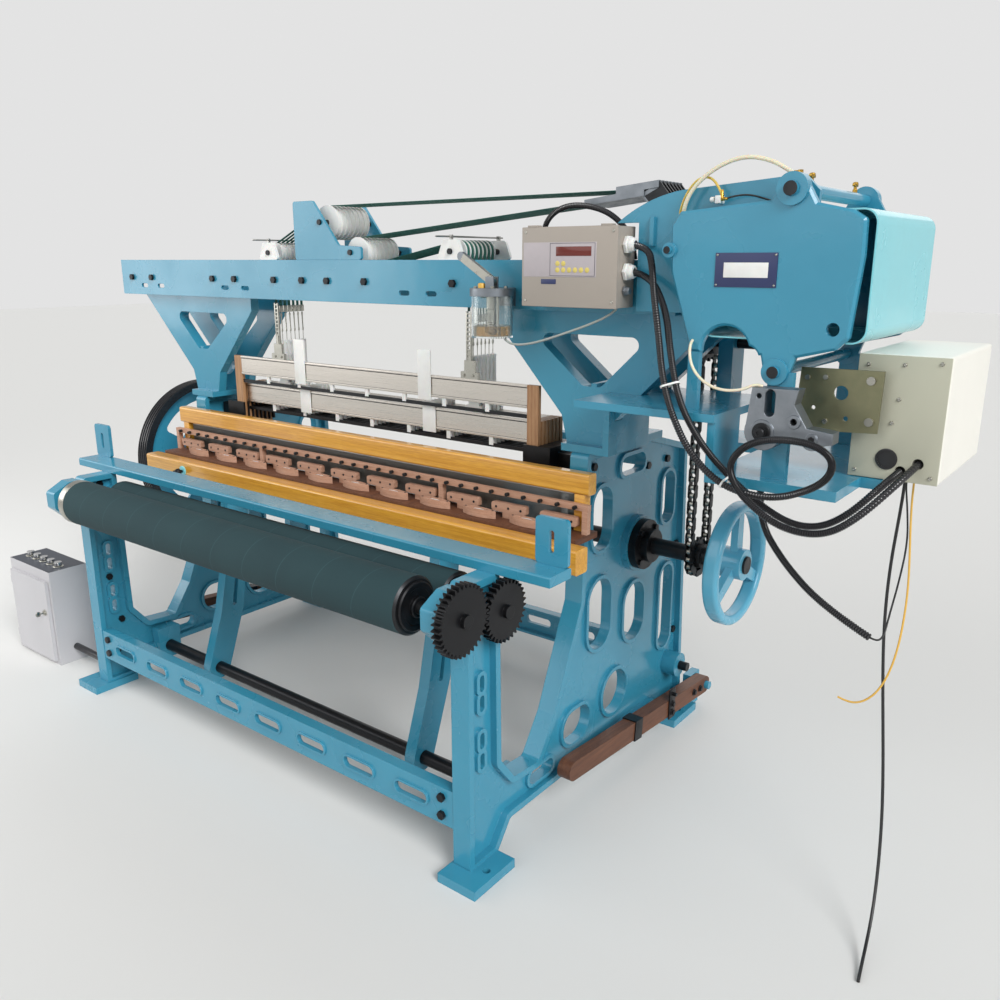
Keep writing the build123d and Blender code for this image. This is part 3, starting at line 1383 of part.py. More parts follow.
CONDUIT_C = [
    (1500.0, -150.0, 1100.0),
    (1500.0, -150.0, 1020.0),
    (1580.0, -176.0, 930.0),
    (1690.0, -196.0, 850.0),
    (1800.0, -204.0, 806.0),
]
EARTH_R = 2.5
SUPPLY_R = 4.0
EARTH = [
    (1800.0, 40.0, 1125.0),
    (1800.0, 40.0, 1085.0),
    (1804.0, 36.0, 1027.0),
    (1811.0, 27.0, 968.0),
    (1819.0, 14.0, 910.0),
    (1825.0, -1.0, 852.0),
    (1827.0, -15.0, 795.0),
    (1826.0, -28.0, 738.0),
    (1820.0, -40.0, 684.0),
    (1808.0, -50.0, 636.0),
    (1789.0, -57.0, 598.0),
    (1763.0, -61.0, 573.0),
    (1734.0, -62.0, 564.0),
    (1706.0, -60.0, 570.0),
]
SUPPLY = [
    (1760.0, 130.0, 1125.0),
    (1760.0, 130.0, 1080.0),
    (1757.0, 125.0, 995.0),
    (1754.0, 113.0, 900.0),
    (1757.0, 95.0, 800.0),
    (1767.0, 73.0, 696.0),
    (1783.0, 49.0, 592.0),
    (1802.0, 22.0, 487.0),
    (1821.0, -7.0, 385.0),
    (1838.0, -39.0, 288.0),
    (1851.0, -74.0, 200.0),
    (1861.0, -113.0, 125.0),
    (1869.0, -157.0, 66.0),
    (1875.0, -208.0, 28.0),
    (1882.0, -265.0, 9.0),
    (1890.0, -320.0, 4.0),
]


def cord(points, r):
    spots = [Vector(*spot) for spot in points]
    radii = []
    for before, at, after in zip(spots, spots[1:], spots[2:]):
        first = at - before
        second = after - at
        turn = math.radians(first.get_angle(second))
        radii.append(BEND_SHARE * min(first.length, second.length) / math.tan(turn / 2))
    print("bend radii:", [round(radius) for radius in radii])
    route = FilletPolyline(*points, radius=radii)
    start = Plane(origin=route @ 0, z_dir=route % 0)
    return sweep(start * Circle(r), path=route)


NODES = {
    "left_side_frame": lambda: other_side(side_frame()),
    "right_side_frame": side_frame,
    "cross_members": cross_members,
    "top_beams": top_beams,
    "arch_brackets": lambda: group([arch_bracket(), other_side(arch_bracket())]),
    "frame_brackets": frame_brackets,
    "bearings_and_guides": bearings_and_guides,
    "pulley_brackets": pulley_brackets,
    "tie_shafts": tie_shafts,
    "lifting_straps": lifting_straps,
    "drive_chain": drive_chain,
    "dobby_stand": dobby_stand,
    "dobby_plates": lambda: group([dobby_front_plate(), dobby_rear_plate(), jack_guard()]),
    "dobby_cover": dobby_cover,
    "jack_levers": jack_levers,
    "controller": controller,
    "oil_pot": oil_pot,
    "pump_head": pump_head,
    "electrical_cabinet": electrical_cabinet,
    "gear_case": gear_case,
    "control_desk": control_desk,
    "frame_bolts": frame_bolts,
    "conduit_a": lambda: cord(CONDUIT_A, CONDUIT_R),
    "conduit_b": lambda: cord(CONDUIT_B, CONDUIT_R),
    "conduit_c": lambda: cord(CONDUIT_C, CONDUIT_R),
    "earth_wire": lambda: cord(EARTH, EARTH_R),
    "supply_cable": lambda: cord(SUPPLY, SUPPLY_R),
    "crankshaft": lambda: group([crankshaft(), crank_sprocket()]),
    "handwheel": handwheel,
    "flywheel": flywheel,
    "dobby_sprocket": dobby_sprocket,
    "rocking_shaft": rocking_shaft,
    "sley_swords": sley_swords,
    "crank_arms": crank_arms,
    "sley_beam": sley_wood,
    "shuttle_battens": shuttle_battens,
    "reed": reed,
    "shuttles": shuttles,
    "take_up_roller": take_up_roller,
    "cloth_roller": cloth_roller,
    "upper_pulley": lambda: pulley(UPPER_ROLL, UPPER_ROLL_R),
    "lower_pulley": lambda: pulley(LOWER_ROLL, LOWER_ROLL_R),
    "left_pulley": lambda: pulley(LEFT_ROLL, SIDE_ROLL_R),
    "right_pulley": lambda: pulley(RIGHT_ROLL, SIDE_ROLL_R),
    "right_pick_lever": pick_lever,
    "left_pick_lever": lambda: other_side(pick_lever()),
    "pump_lever": pump_lever,
    "desk_door": desk_door,
}

os.makedirs("parts", exist_ok=True)
for name, make in NODES.items():
    export_step(make(), os.path.join("parts", name + ".step"))
for number in range(HEALD_COUNT):
    export_step(heald_frame(number), os.path.join("parts", "heald_frame_%d.step" % (number + 1)))
for number in range(BUTTONS):
    export_step(button(number), os.path.join("parts", "button_%d.step" % (number + 1)))
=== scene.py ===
# %% [markdown]
# # A dobby loom, dressed in Blender
#
# A dobby loom weaves narrow patterned cloth. Cast side frames carry a rocking beam with shuttles,
# a pack of heald frames that straps lift, and a dobby, the box that decides which frame rises.
# The solids come from a measured model and stay where they are. This lesson gives them their
# finishes and adds what is too fine or too soft for the solids.

# %% Load the measured model
import json
import math
from contextlib import contextmanager

import bmesh
import bpy
from mathutils import Matrix, Vector


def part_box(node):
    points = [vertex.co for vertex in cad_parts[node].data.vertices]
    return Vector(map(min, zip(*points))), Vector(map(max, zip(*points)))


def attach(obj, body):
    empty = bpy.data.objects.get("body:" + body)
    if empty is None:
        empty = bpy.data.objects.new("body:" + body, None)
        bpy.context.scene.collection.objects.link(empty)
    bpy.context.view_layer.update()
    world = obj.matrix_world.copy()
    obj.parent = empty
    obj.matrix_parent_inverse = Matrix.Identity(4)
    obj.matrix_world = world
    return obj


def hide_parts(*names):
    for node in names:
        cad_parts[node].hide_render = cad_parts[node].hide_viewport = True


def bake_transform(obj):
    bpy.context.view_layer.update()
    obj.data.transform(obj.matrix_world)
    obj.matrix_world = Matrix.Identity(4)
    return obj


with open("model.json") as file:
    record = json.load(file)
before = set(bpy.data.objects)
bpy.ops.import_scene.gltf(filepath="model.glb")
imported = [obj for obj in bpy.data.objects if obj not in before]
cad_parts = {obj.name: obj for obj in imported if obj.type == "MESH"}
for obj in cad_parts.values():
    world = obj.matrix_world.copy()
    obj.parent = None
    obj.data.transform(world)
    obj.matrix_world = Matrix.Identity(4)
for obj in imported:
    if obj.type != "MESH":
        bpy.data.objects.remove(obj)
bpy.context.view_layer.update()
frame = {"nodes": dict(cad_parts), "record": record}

nodes = frame["nodes"]

# %% [markdown]
# ## Camera
#
# The loom is seen from its front right corner, at standing height, with a lens a little wider than
# the eye. The camera's place was found by lining up straight edges of the machine, so it is set
# as plain numbers, with no shift and no blur.

# %% Camera
CAMERA_AT = (2.273, -2.187, 1.63)
CAMERA_TILT = math.radians(74.9)
CAMERA_TURN = math.radians(37.6)
LENS_MM = 32.04
SENSOR_MM = 36.0

lens = bpy.data.cameras.new("camera")
lens.lens = LENS_MM
lens.sensor_width = SENSOR_MM
camera = bpy.data.objects.new("camera", lens)
camera.location = CAMERA_AT
camera.rotation_euler = (CAMERA_TILT, 0, CAMERA_TURN)
bpy.context.scene.collection.objects.link(camera)
bpy.context.scene.camera = camera
bpy.context.scene.view_settings.view_transform = "Standard"
print("camera at", CAMERA_AT)

# %% [markdown]
# ## Tools for materials
#
# A colour is easiest to note as a hex value, the way a paint chart gives it. Blender computes in
# linear light, so one function turns hex to linear. One more adds a shader node with its settings
# and links, and a third starts a material whose constant values sit on the shader itself.

# %% Material tools
MM = 0.001


def linear(code):
    channels = [int(code[i:i + 2], 16) / 255 for i in (0, 2, 4)]
    return tuple(c / 12.92 if c <= 0.04045 else ((c + 0.055) / 1.055) ** 2.4 for c in channels) + (1.0,)


def add(tree, kind, inputs=None, **settings):
    node = tree.nodes.new("ShaderNode" + kind)
    for name, value in settings.items():
        setattr(node, name, value)
    for name, value in (inputs or {}).items():
        if isinstance(value, bpy.types.NodeSocket):
            tree.links.new(value, node.inputs[name])
        else:
            node.inputs[name].default_value = value
    return node


def start_material(name, colour, **sockets):
    material = bpy.data.materials.new(name)
    material.use_nodes = True
    tree = material.node_tree
    shader = tree.nodes["Principled BSDF"]
    shader.inputs["Base Color"].default_value = linear(colour)
    for socket, value in sockets.items():
        shader.inputs[socket.replace("_", " ")].default_value = value
    where = add(tree, "TexCoord").outputs["Object"]
    return material, tree, shader, where


materials = {}
print("linear of mid grey:", [round(c, 3) for c in linear("808080")[:3]])

# %% [markdown]
# ## Enamel on cast iron
#
# The frames are grey iron castings, filled, then brushed with sky blue machine enamel. The eye sees
# a glossy skin that is not quite flat: a slow waviness from the casting, a fine brush texture, and
# a tone that drifts a little from panel to panel. Sharp cast corners are really rounded by paint,
# and the Bevel node gives that rounding without touching the measured mesh.

# %% Enamel
NOISE_LOW, NOISE_HIGH = 0.3, 0.7
CAST_WAVE_MM = 60.0
BRUSH_MM = 5.0
PATCH_MM = 220.0
CORNER_MM = 2.2


def enamel(name, colour, worn, gloss):
    material, tree, shader, where = start_material(
        name, colour, Roughness=gloss, IOR=1.5, Coat_Weight=0.3, Coat_Roughness=0.1
    )
    patch = add(tree, "TexNoise", {"Vector": where, "Scale": 1 / (PATCH_MM * MM), "Detail": 4.0})
    tint = add(tree, "Mix", {0: patch.outputs["Fac"], 6: linear(colour), 7: linear(worn)}, data_type="RGBA")
    tree.links.new(tint.outputs[2], shader.inputs["Base Color"])
    sheen = add(tree, "MapRange", {"Value": patch.outputs["Fac"], 1: NOISE_LOW, 2: NOISE_HIGH,
                                   3: gloss - 0.07, 4: gloss + 0.1})
    tree.links.new(sheen.outputs["Result"], shader.inputs["Roughness"])
    corner = add(tree, "Bevel", {"Radius": CORNER_MM * MM}, samples=4)
    wave = add(tree, "TexNoise", {"Vector": where, "Scale": 1 / (CAST_WAVE_MM * MM), "Detail": 1.0})
    brush = add(tree, "TexNoise", {"Vector": where, "Scale": 1 / (BRUSH_MM * MM), "Detail": 2.0})
    cast = add(tree, "Bump", {"Height": wave.outputs["Fac"], "Strength": 0.5, "Distance": 1.5 * MM,
                              "Normal": corner.outputs["Normal"]})
    skin = add(tree, "Bump", {"Height": brush.outputs["Fac"], "Strength": 0.25, "Distance": 0.4 * MM,
                              "Normal": cast.outputs["Normal"]})
    tree.links.new(skin.outputs["Normal"], shader.inputs["Normal"])
    return material


materials["blue_paint"] = enamel("sky_blue_enamel", "3B92AE", "3185A1", 0.25)
materials["wheel_paint"] = enamel("light_blue_enamel", "64B4D0", "58A8C6", 0.24)
materials["aqua_paint"] = enamel("pale_aqua_enamel", "86D6DE", "7ACBD6", 0.22)
print("enamels:", [m.name for m in materials.values()])

# %% [markdown]
# ## Powder coat on sheet steel
#
# The control box, controller and cabinet are folded sheet steel with a baked powder coat. Powder
# flows out to a fine orange peel about a millimetre across, which is drawn at two millimetres here
# so that it shows at this distance. There is no brush mark and the gloss is low.

# %% Powder coats
PEEL_MM = 2.0
FOLD_MM = 1.6


def powder_coat(name, colour, roughness):
    material, tree, shader, where = start_material(name, colour, Roughness=roughness, IOR=1.48)
    peel = add(tree, "TexNoise", {"Vector": where, "Scale": 1 / (PEEL_MM * MM), "Detail": 1.0})
    dust = add(tree, "TexNoise", {"Vector": where, "Scale": 1 / (PATCH_MM * MM), "Detail": 5.0})
    deep = tuple(c * 0.9 for c in linear(colour)[:3]) + (1.0,)
    tint = add(tree, "Mix", {0: dust.outputs["Fac"], 6: linear(colour), 7: deep}, data_type="RGBA")
    tree.links.new(tint.outputs[2], shader.inputs["Base Color"])
    fold = add(tree, "Bevel", {"Radius": FOLD_MM * MM}, samples=4)
    bump = add(tree, "Bump", {"Height": peel.outputs["Fac"], "Strength": 0.2, "Distance": 0.2 * MM,
                              "Normal": fold.outputs["Normal"]})
    tree.links.new(bump.outputs["Normal"], shader.inputs["Normal"])
    return material


materials["grey_box"] = powder_coat("grey_powder_coat", "C0BFC2", 0.45)
materials["slate"] = powder_coat("slate_powder_coat", "3C414B", 0.4)
materials["warm_grey"] = powder_coat("warm_grey_powder_coat", "A59C92", 0.42)
materials["cream_box"] = powder_coat("cream_powder_coat", "F1EFE6", 0.42)
materials["front_grey"] = powder_coat("grey_cream_powder_coat", "BDBCA9", 0.4)
print("powder coats made")

# %% [markdown]
# ## Bare and plated metals
#
# A metal keeps the default index of refraction and takes its colour from the reflection. Drawn and
# ground pieces have fine lines along their length, plated ones are smooth with cloudy patches,
# and blackened bolts are dark, oily and only half metallic to the eye.

# %% Metals
LINE_MM = 1.2
RUN_MM = 180.0
CLOUD_MM = 30.0
SMOOTHER, ROUGHER = 0.08, 0.12


def drawn_metal(name, colour, roughness, along):
    material, tree, shader, where = start_material(name, colour, Metallic=1.0, Roughness=roughness)
    size = [LINE_MM, LINE_MM, LINE_MM]
    size[along] = RUN_MM
    grain = add(tree, "Mapping", {"Vector": where, "Scale": [1 / (s * MM) for s in size]})
    lines = add(tree, "TexNoise", {"Vector": grain.outputs["Vector"], "Scale": 1.0, "Detail": 2.0})
    spread = add(tree, "MapRange", {"Value": lines.outputs["Fac"], 1: NOISE_LOW, 2: NOISE_HIGH,
                                    3: roughness - SMOOTHER, 4: roughness + ROUGHER})
    tree.links.new(spread.outputs["Result"], shader.inputs["Roughness"])
    edge = add(tree, "Bevel", {"Radius": 0.8 * MM}, samples=4)
    bump = add(tree, "Bump", {"Height": lines.outputs["Fac"], "Strength": 0.15, "Distance": 0.1 * MM,
                              "Normal": edge.outputs["Normal"]})
    tree.links.new(bump.outputs["Normal"], shader.inputs["Normal"])
    return material


def cloudy_metal(name, colour, stain, roughness, metallic):
    material, tree, shader, where = start_material(name, colour, Metallic=metallic, Roughness=roughness)
    cloud = add(tree, "TexNoise", {"Vector": where, "Scale": 1 / (CLOUD_MM * MM), "Detail": 5.0})
    tint = add(tree, "Mix", {0: cloud.outputs["Fac"], 6: linear(colour), 7: linear(stain)}, data_type="RGBA")
    tree.links.new(tint.outputs[2], shader.inputs["Base Color"])
    spread = add(tree, "MapRange", {"Value": cloud.outputs["Fac"], 1: NOISE_LOW, 2: NOISE_HIGH,
                                    3: roughness - SMOOTHER, 4: roughness + ROUGHER})
    tree.links.new(spread.outputs["Result"], shader.inputs["Roughness"])
    edge = add(tree, "Bevel", {"Radius": 1.2 * MM}, samples=4)
    bump = add(tree, "Bump", {"Height": cloud.outputs["Fac"], "Strength": 0.2, "Distance": 0.4 * MM,
                              "Normal": edge.outputs["Normal"]})
    tree.links.new(bump.outputs["Normal"], shader.inputs["Normal"])
    return material


materials["aluminium"] = drawn_metal("extruded_aluminium", "C9C3BB", 0.3, 0)
materials["steel"] = drawn_metal("ground_steel", "A4A3A0", 0.34, 0)
materials["dark_steel"] = cloudy_metal("oiled_forged_steel", "3A3B3D", "27282A", 0.38, 0.8)
materials["black_iron"] = cloudy_metal("black_oxide_steel", "17181A", "222225", 0.36, 0.6)
materials["zinc_yellow"] = cloudy_metal("yellow_zinc_plate", "8E8B6E", "7A7A5E", 0.36, 0.75)
materials["zinc"] = cloudy_metal("bright_zinc_plate", "B7B5AC", "98978F", 0.3, 1.0)
materials["cast_alloy"] = cloudy_metal("as_cast_aluminium_alloy", "8F949A", "747A80", 0.4, 0.85)
materials["button_cap"] = cloudy_metal("chrome_plate", "D8D8D8", "CFCFCF", 0.14, 1.0)
materials["brass"] = cloudy_metal("turned_brass", "C8A24E", "AE8838", 0.28, 1.0)
print("metals:", len(materials))

# %% [markdown]
# ## Wood
#
# The sley beam and reed cap are planks under thick amber varnish, so they show long grain below a
# clear glossy coat. The shuttles, battens and levers are oiled beech, matt and pinkish. In both
# the grain runs along the plank, so noise is stretched a hundred times further that way.

# %% Woods
GRAIN_LONG_MM = 420.0
GRAIN_WIDE_MM = 9.0
FIBRE_LONG_MM = 40.0
FIBRE_WIDE_MM = 0.9


def wood(name, light, dark, roughness, coat, along, contrast):
    material, tree, shader, where = start_material(
        name, light, Roughness=roughness, IOR=1.5, Coat_Weight=coat, Coat_Roughness=0.1
    )
    long_way = [GRAIN_WIDE_MM] * 3
    long_way[along] = GRAIN_LONG_MM
    fine_way = [FIBRE_WIDE_MM] * 3
    fine_way[along] = FIBRE_LONG_MM
    broad = add(tree, "Mapping", {"Vector": where, "Scale": [1 / (s * MM) for s in long_way]})
    fine = add(tree, "Mapping", {"Vector": where, "Scale": [1 / (s * MM) for s in fine_way]})
    figure = add(tree, "TexNoise", {"Vector": broad.outputs["Vector"], "Scale": 1.0, "Detail": 4.0,
                                    "Distortion": 0.8})
    fibre = add(tree, "TexNoise", {"Vector": fine.outputs["Vector"], "Scale": 1.0, "Detail": 2.0})
    both = add(tree, "Math", {0: figure.outputs["Fac"], 1: fibre.outputs["Fac"]}, operation="ADD")
    share = add(tree, "MapRange", {"Value": both.outputs["Value"], 1: 0.75, 2: 1.25, 3: 0.0, 4: contrast})
    tint = add(tree, "Mix", {0: share.outputs["Result"], 6: linear(light), 7: linear(dark)}, data_type="RGBA")
    tree.links.new(tint.outputs[2], shader.inputs["Base Color"])
    edge = add(tree, "Bevel", {"Radius": 1.5 * MM}, samples=4)
    bump = add(tree, "Bump", {"Height": fibre.outputs["Fac"], "Strength": 0.2, "Distance": 0.2 * MM,
                              "Normal": edge.outputs["Normal"]})
    tree.links.new(bump.outputs["Normal"], shader.inputs["Normal"])
    return material


materials["varnished_wood"] = wood("amber_varnished_pine", "E6AC3C", "C07F1C", 0.35, 1.0, 0, 0.9)
materials["pale_wood"] = wood("oiled_beech", "C49A82", "A3775F", 0.5, 0.15, 0, 0.8)
materials["post_wood"] = wood("beech_post", "B48A62", "8E6440", 0.5, 0.1, 2, 1.0)
materials["lever_wood"] = wood("oiled_ash_lever", "6E442C", "4C2C1C", 0.55, 0.05, 1, 1.0)
print("woods made")

# %% [markdown]
# ## Moulded plastic, rubber and cloth
#
# The pulleys and hanger plates are white nylon, slightly waxy, so a little light passes under the
# surface. The conduit is black polyamide. The rollers wear a dark green wrap of emery cloth, wound
# in a slow spiral whose seam shows every hand's width: the seam follows x plus the angle round the
# roller, worked out with a few Math nodes.

# %% Plastics and cloth
SPECK_MM = 1.4


def moulded(name, colour, roughness, ior, soft=0.0):
    material, tree, shader, where = start_material(name, colour, Roughness=roughness, IOR=ior)
    shader.inputs["Subsurface Weight"].default_value = soft
    shader.inputs["Subsurface Scale"].default_value = 3 * MM
    speck = add(tree, "TexNoise", {"Vector": where, "Scale": 1 / (SPECK_MM * MM), "Detail": 2.0})
    cloud = add(tree, "TexNoise", {"Vector": where, "Scale": 1 / (CLOUD_MM * MM), "Detail": 3.0})
    deep = tuple(c * 0.86 for c in linear(colour)[:3]) + (1.0,)
    tint = add(tree, "Mix", {0: cloud.outputs["Fac"], 6: linear(colour), 7: deep}, data_type="RGBA")
    tree.links.new(tint.outputs[2], shader.inputs["Base Color"])
    bump = add(tree, "Bump", {"Height": speck.outputs["Fac"], "Strength": 0.12, "Distance": 0.2 * MM})
    tree.links.new(bump.outputs["Normal"], shader.inputs["Normal"])
    return material


materials["white_plastic"] = moulded("white_nylon", "EFEFEC", 0.45, 1.53, 0.1)
materials["black_rubber"] = moulded("black_polyamide", "232326", 0.26, 1.53)
materials["yellow_wire"] = moulded("yellow_pvc", "E3B24A", 0.4, 1.54)
materials["black_pvc"] = moulded("black_pvc", "151516", 0.38, 1.54)
materials["red_window"] = moulded("dark_red_acrylic", "6E2A22", 0.12, 1.49)
materials["key_pad"] = moulded("amber_key_membrane", "D9C66A", 0.4, 1.5)
materials["panel_film"] = moulded("lilac_grey_film", "B7AFB2", 0.4, 1.5)
materials["blue_plate"] = moulded("dark_blue_plate", "2B3560", 0.35, 1.5)
materials["clear_tube"] = moulded("milky_pvc_tube", "E9E1C6", 0.3, 1.5, 0.3)
materials["yellow_tube"] = moulded("yellow_pvc_tube", "E2C45C", 0.3, 1.5, 0.3)
materials["grey_tube"] = moulded("grey_polyamide_tube", "A3ABA6", 0.35, 1.53, 0.2)
materials["strap_green"] = moulded("green_polyamide_belt", "1C5C50", 0.72, 1.53)
print("plastics made")

# %% Spiral wrapped roller cloth
SEAM_PITCH_MM = 150.0
SEAM_SHARE = 0.02
WEAVE_MM = 2.5
CLOTH_DARK, CLOTH_LIGHT, CLOTH_SEAM, CLOTH_MEAN = "1C3338", "244145", "2A474C", "2F4B4C"


def roller_cloth(name, centre):
    material, tree, shader, where = start_material(name, CLOTH_MEAN, Roughness=0.85, IOR=1.45)
    split = add(tree, "SeparateXYZ", {"Vector": where})
    y = add(tree, "Math", {0: split.outputs["Y"], 1: centre.y}, operation="SUBTRACT")
    z = add(tree, "Math", {0: split.outputs["Z"], 1: centre.z}, operation="SUBTRACT")
    angle = add(tree, "Math", {0: z.outputs[0], 1: y.outputs[0]}, operation="ARCTAN2")
    turn = add(tree, "Math", {0: angle.outputs[0], 1: 2 * math.pi}, operation="DIVIDE")
    along = add(tree, "Math", {0: split.outputs["X"], 1: SEAM_PITCH_MM * MM}, operation="DIVIDE")
    wound = add(tree, "Math", {0: along.outputs[0], 1: turn.outputs[0]}, operation="ADD")
    part = add(tree, "Math", {0: wound.outputs[0]}, operation="FRACT")
    seam = add(tree, "Math", {0: part.outputs[0], 1: SEAM_SHARE}, operation="LESS_THAN")
    nap = add(tree, "TexNoise", {"Vector": where, "Scale": 1 / (WEAVE_MM * MM), "Detail": 3.0})
    patch = add(tree, "TexNoise", {"Vector": where, "Scale": 1 / (PATCH_MM * MM), "Detail": 4.0})
    tones = {6: linear(CLOTH_DARK), 7: linear(CLOTH_LIGHT)}
    cloth = add(tree, "Mix", {0: patch.outputs["Fac"], **tones}, data_type="RGBA")
    edges = {6: cloth.outputs[2], 7: linear(CLOTH_SEAM)}
    joined = add(tree, "Mix", {0: seam.outputs[0], **edges}, data_type="RGBA")
    tree.links.new(joined.outputs[2], shader.inputs["Base Color"])
    bump = add(tree, "Bump", {"Height": nap.outputs["Fac"], "Strength": 0.5, "Distance": 0.5 * MM})
    tree.links.new(bump.outputs["Normal"], shader.inputs["Normal"])
    return material


def middle(node):
    low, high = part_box(node)
    return (low + high) / 2


materials["cloth_wrap"] = roller_cloth("emery_cloth_front", middle("cloth_roller"))
materials["take_up_wrap"] = roller_cloth("emery_cloth_rear", middle("take_up_roller"))
print("roller cloths follow", [round(v, 3) for v in middle("cloth_roller")])

# %% [markdown]
# ## Clear jar and oil
#
# The oil pot is a clear moulded jar and the oil in it is amber. Both are transmissive, and thin
# walls look best with real wall thickness, which the solid has.

# %% Jar and oil
STREAK_MM = 25.0
THROUGH = 0.95


def clear(name, colour, roughness, ior):
    material, tree, shader, where = start_material(
        name, colour, Roughness=roughness, IOR=ior, Transmission_Weight=THROUGH
    )
    streak = add(tree, "TexNoise", {"Vector": where, "Scale": 1 / (STREAK_MM * MM), "Detail": 3.0})
    haze = add(tree, "MapRange", {"Value": streak.outputs["Fac"], 1: 0.35, 2: NOISE_HIGH,
                                  3: roughness, 4: roughness + 0.04})
    tree.links.new(haze.outputs["Result"], shader.inputs["Roughness"])
    return material


materials["glass"] = clear("clear_moulded_jar", "F6FAF9", 0.0, 1.45)
materials["oil"] = clear("mineral_oil", "B98A3C", 0.02, 1.47)
print("clear materials made")

# %% [markdown]
# ## Cords
#
# Three corrugated conduits hang beside the cabinet, two of them from the controller. A thin wire
# comes out of the open one, and an earth wire and a supply lead hang free. A flexible lead is a
# smooth curve, so each is one NURBS spline through a given route. The conduits become ribbed
# tubes along points read from that spline, because their ribs show. The plain leads keep the curve
# with a round bevel.

# %% Cord tools
RIB_STEP_MM = 5.4
RIB_DEEP_MM = 1.8
RINGS_PER_RIB = 3
TUBE_SIDES = 12
LEAD_STEPS = 12


def route_curve(name, route, resolution):
    curve = bpy.data.curves.new(name, "CURVE")
    curve.dimensions = "3D"
    spline = curve.splines.new("NURBS")
    spline.points.add(len(route) - 1)
    for point, spot in zip(spline.points, route):
        point.co = (*spot, 1.0)
    spline.order_u = 3
    spline.use_endpoint_u = True
    spline.resolution_u = resolution
    return curve


def line_points(curve):
    carrier = bpy.data.objects.new("route_reader", curve)
    bpy.context.scene.collection.objects.link(carrier)
    bpy.context.view_layer.update()
    graph = bpy.context.evaluated_depsgraph_get()
    mesh = bpy.data.meshes.new_from_object(carrier.evaluated_get(graph))
    points = [v.co.copy() for v in mesh.vertices]
    bpy.data.objects.remove(carrier)
    return points


def length_of(points):
    return sum((b - a).length for a, b in zip(points, points[1:]))


def smooth_object(name, mesh, material, angle=35):
    mesh.materials.append(material)
    mesh.shade_smooth()
    mesh.set_sharp_from_angle(angle=math.radians(angle))
    made = bpy.data.objects.new(name, mesh)
    bpy.context.scene.collection.objects.link(made)
    return made


def join_rings(bm, rings):
    sides = len(rings[0])
    for a, b in zip(rings, rings[1:]):
        for k in range(sides):
            bm.faces.new((a[k], a[(k + 1) % sides], b[(k + 1) % sides], b[k]))


def bent_tube(bm, points, radii, sides):
    side = (points[1] - points[0]).orthogonal().normalized()
    rings = []
    for i, point in enumerate(points):
        ahead = (points[min(i + 1, len(points) - 1)] - points[max(i - 1, 0)]).normalized()
        side = (side - ahead * side.dot(ahead)).normalized()
        up = ahead.cross(side)
        turns = [2 * math.pi * k / sides for k in range(sides)]
        round_it = [point + (side * math.cos(t) + up * math.sin(t)) * radii[i] for t in turns]
        rings.append([bm.verts.new(v) for v in round_it])
    join_rings(bm, rings)
    bm.faces.new(rings[0][::-1])
    bm.faces.new(rings[-1])


def tube_mesh(name, points, radii, sides):
    bm = bmesh.new()
    bent_tube(bm, points, radii, sides)
    mesh = bpy.data.meshes.new(name)
    bm.to_mesh(mesh)
    bm.free()
    return mesh


print("cord tools ready")

# %% The routes, in metres
CONDUIT_R = 0.0088
SIGNAL_R = 0.0022
EARTH_R = 0.0025
SUPPLY_R = 0.004
CONDUIT_A = [
    (1.092, -0.104, 1.668),
    (1.146, -0.110, 1.662),
    (1.176, -0.140, 1.612),
    (1.193, -0.160, 1.550),
    (1.227, -0.187, 1.445),
    (1.258, -0.219, 1.353),
    (1.298, -0.239, 1.267),
    (1.357, -0.245, 1.175),
    (1.445, -0.246, 1.109),
    (1.562, -0.244, 1.098),
    (1.650, -0.241, 1.134),
    (1.690, -0.240, 1.172),
    (1.690, -0.241, 1.213),
    (1.640, -0.244, 1.241),
    (1.545, -0.250, 1.240),
    (1.488, -0.255, 1.214),
    (1.462, -0.261, 1.172),
    (1.478, -0.270, 1.132),
    (1.520, -0.276, 1.090),
    (1.600, -0.273, 1.043),
    (1.685, -0.248, 1.034),
    (1.742, -0.200, 1.072),
    (1.808, -0.110, 1.158),
    (1.812, 0.024, 1.172),
]
CONDUIT_B = [
    (1.092, -0.104, 1.600),
    (1.150, -0.106, 1.596),
    (1.222, -0.146, 1.512),
    (1.263, -0.195, 1.418),
    (1.302, -0.221, 1.308),
    (1.358, -0.222, 1.216),
    (1.428, -0.213, 1.142),
    (1.519, -0.212, 1.074),
    (1.616, -0.205, 1.030),
    (1.695, -0.170, 1.047),
    (1.774, -0.080, 1.146),
    (1.775, 0.024, 1.150),
]
CONDUIT_C = [
    (1.500, -0.150, 1.100),
    (1.500, -0.150, 1.020),
    (1.580, -0.176, 0.930),
    (1.690, -0.196, 0.850),
    (1.800, -0.204, 0.806),
]
SIGNAL_WIRE = [
    (1.766, 0.112, 1.125),
    (1.768, 0.110, 1.090),
    (1.787, 0.070, 1.040),
    (1.811, 0.000, 0.980),
    (1.822, -0.090, 0.912),
    (1.826, -0.165, 0.850),
    (1.828, -0.200, 0.812),
    (1.812, -0.205, 0.800),
    (1.786, -0.203, 0.812),
]
EARTH = [
    (1.800, 0.040, 1.125),
    (1.800, 0.040, 1.085),
    (1.804, 0.036, 1.027),
    (1.811, 0.027, 0.968),
    (1.819, 0.014, 0.910),
    (1.825, -0.001, 0.852),
    (1.827, -0.015, 0.795),
    (1.826, -0.028, 0.738),
    (1.820, -0.040, 0.684),
    (1.808, -0.050, 0.636),
    (1.789, -0.057, 0.598),
    (1.763, -0.061, 0.573),
    (1.734, -0.062, 0.564),
    (1.706, -0.060, 0.570),
]
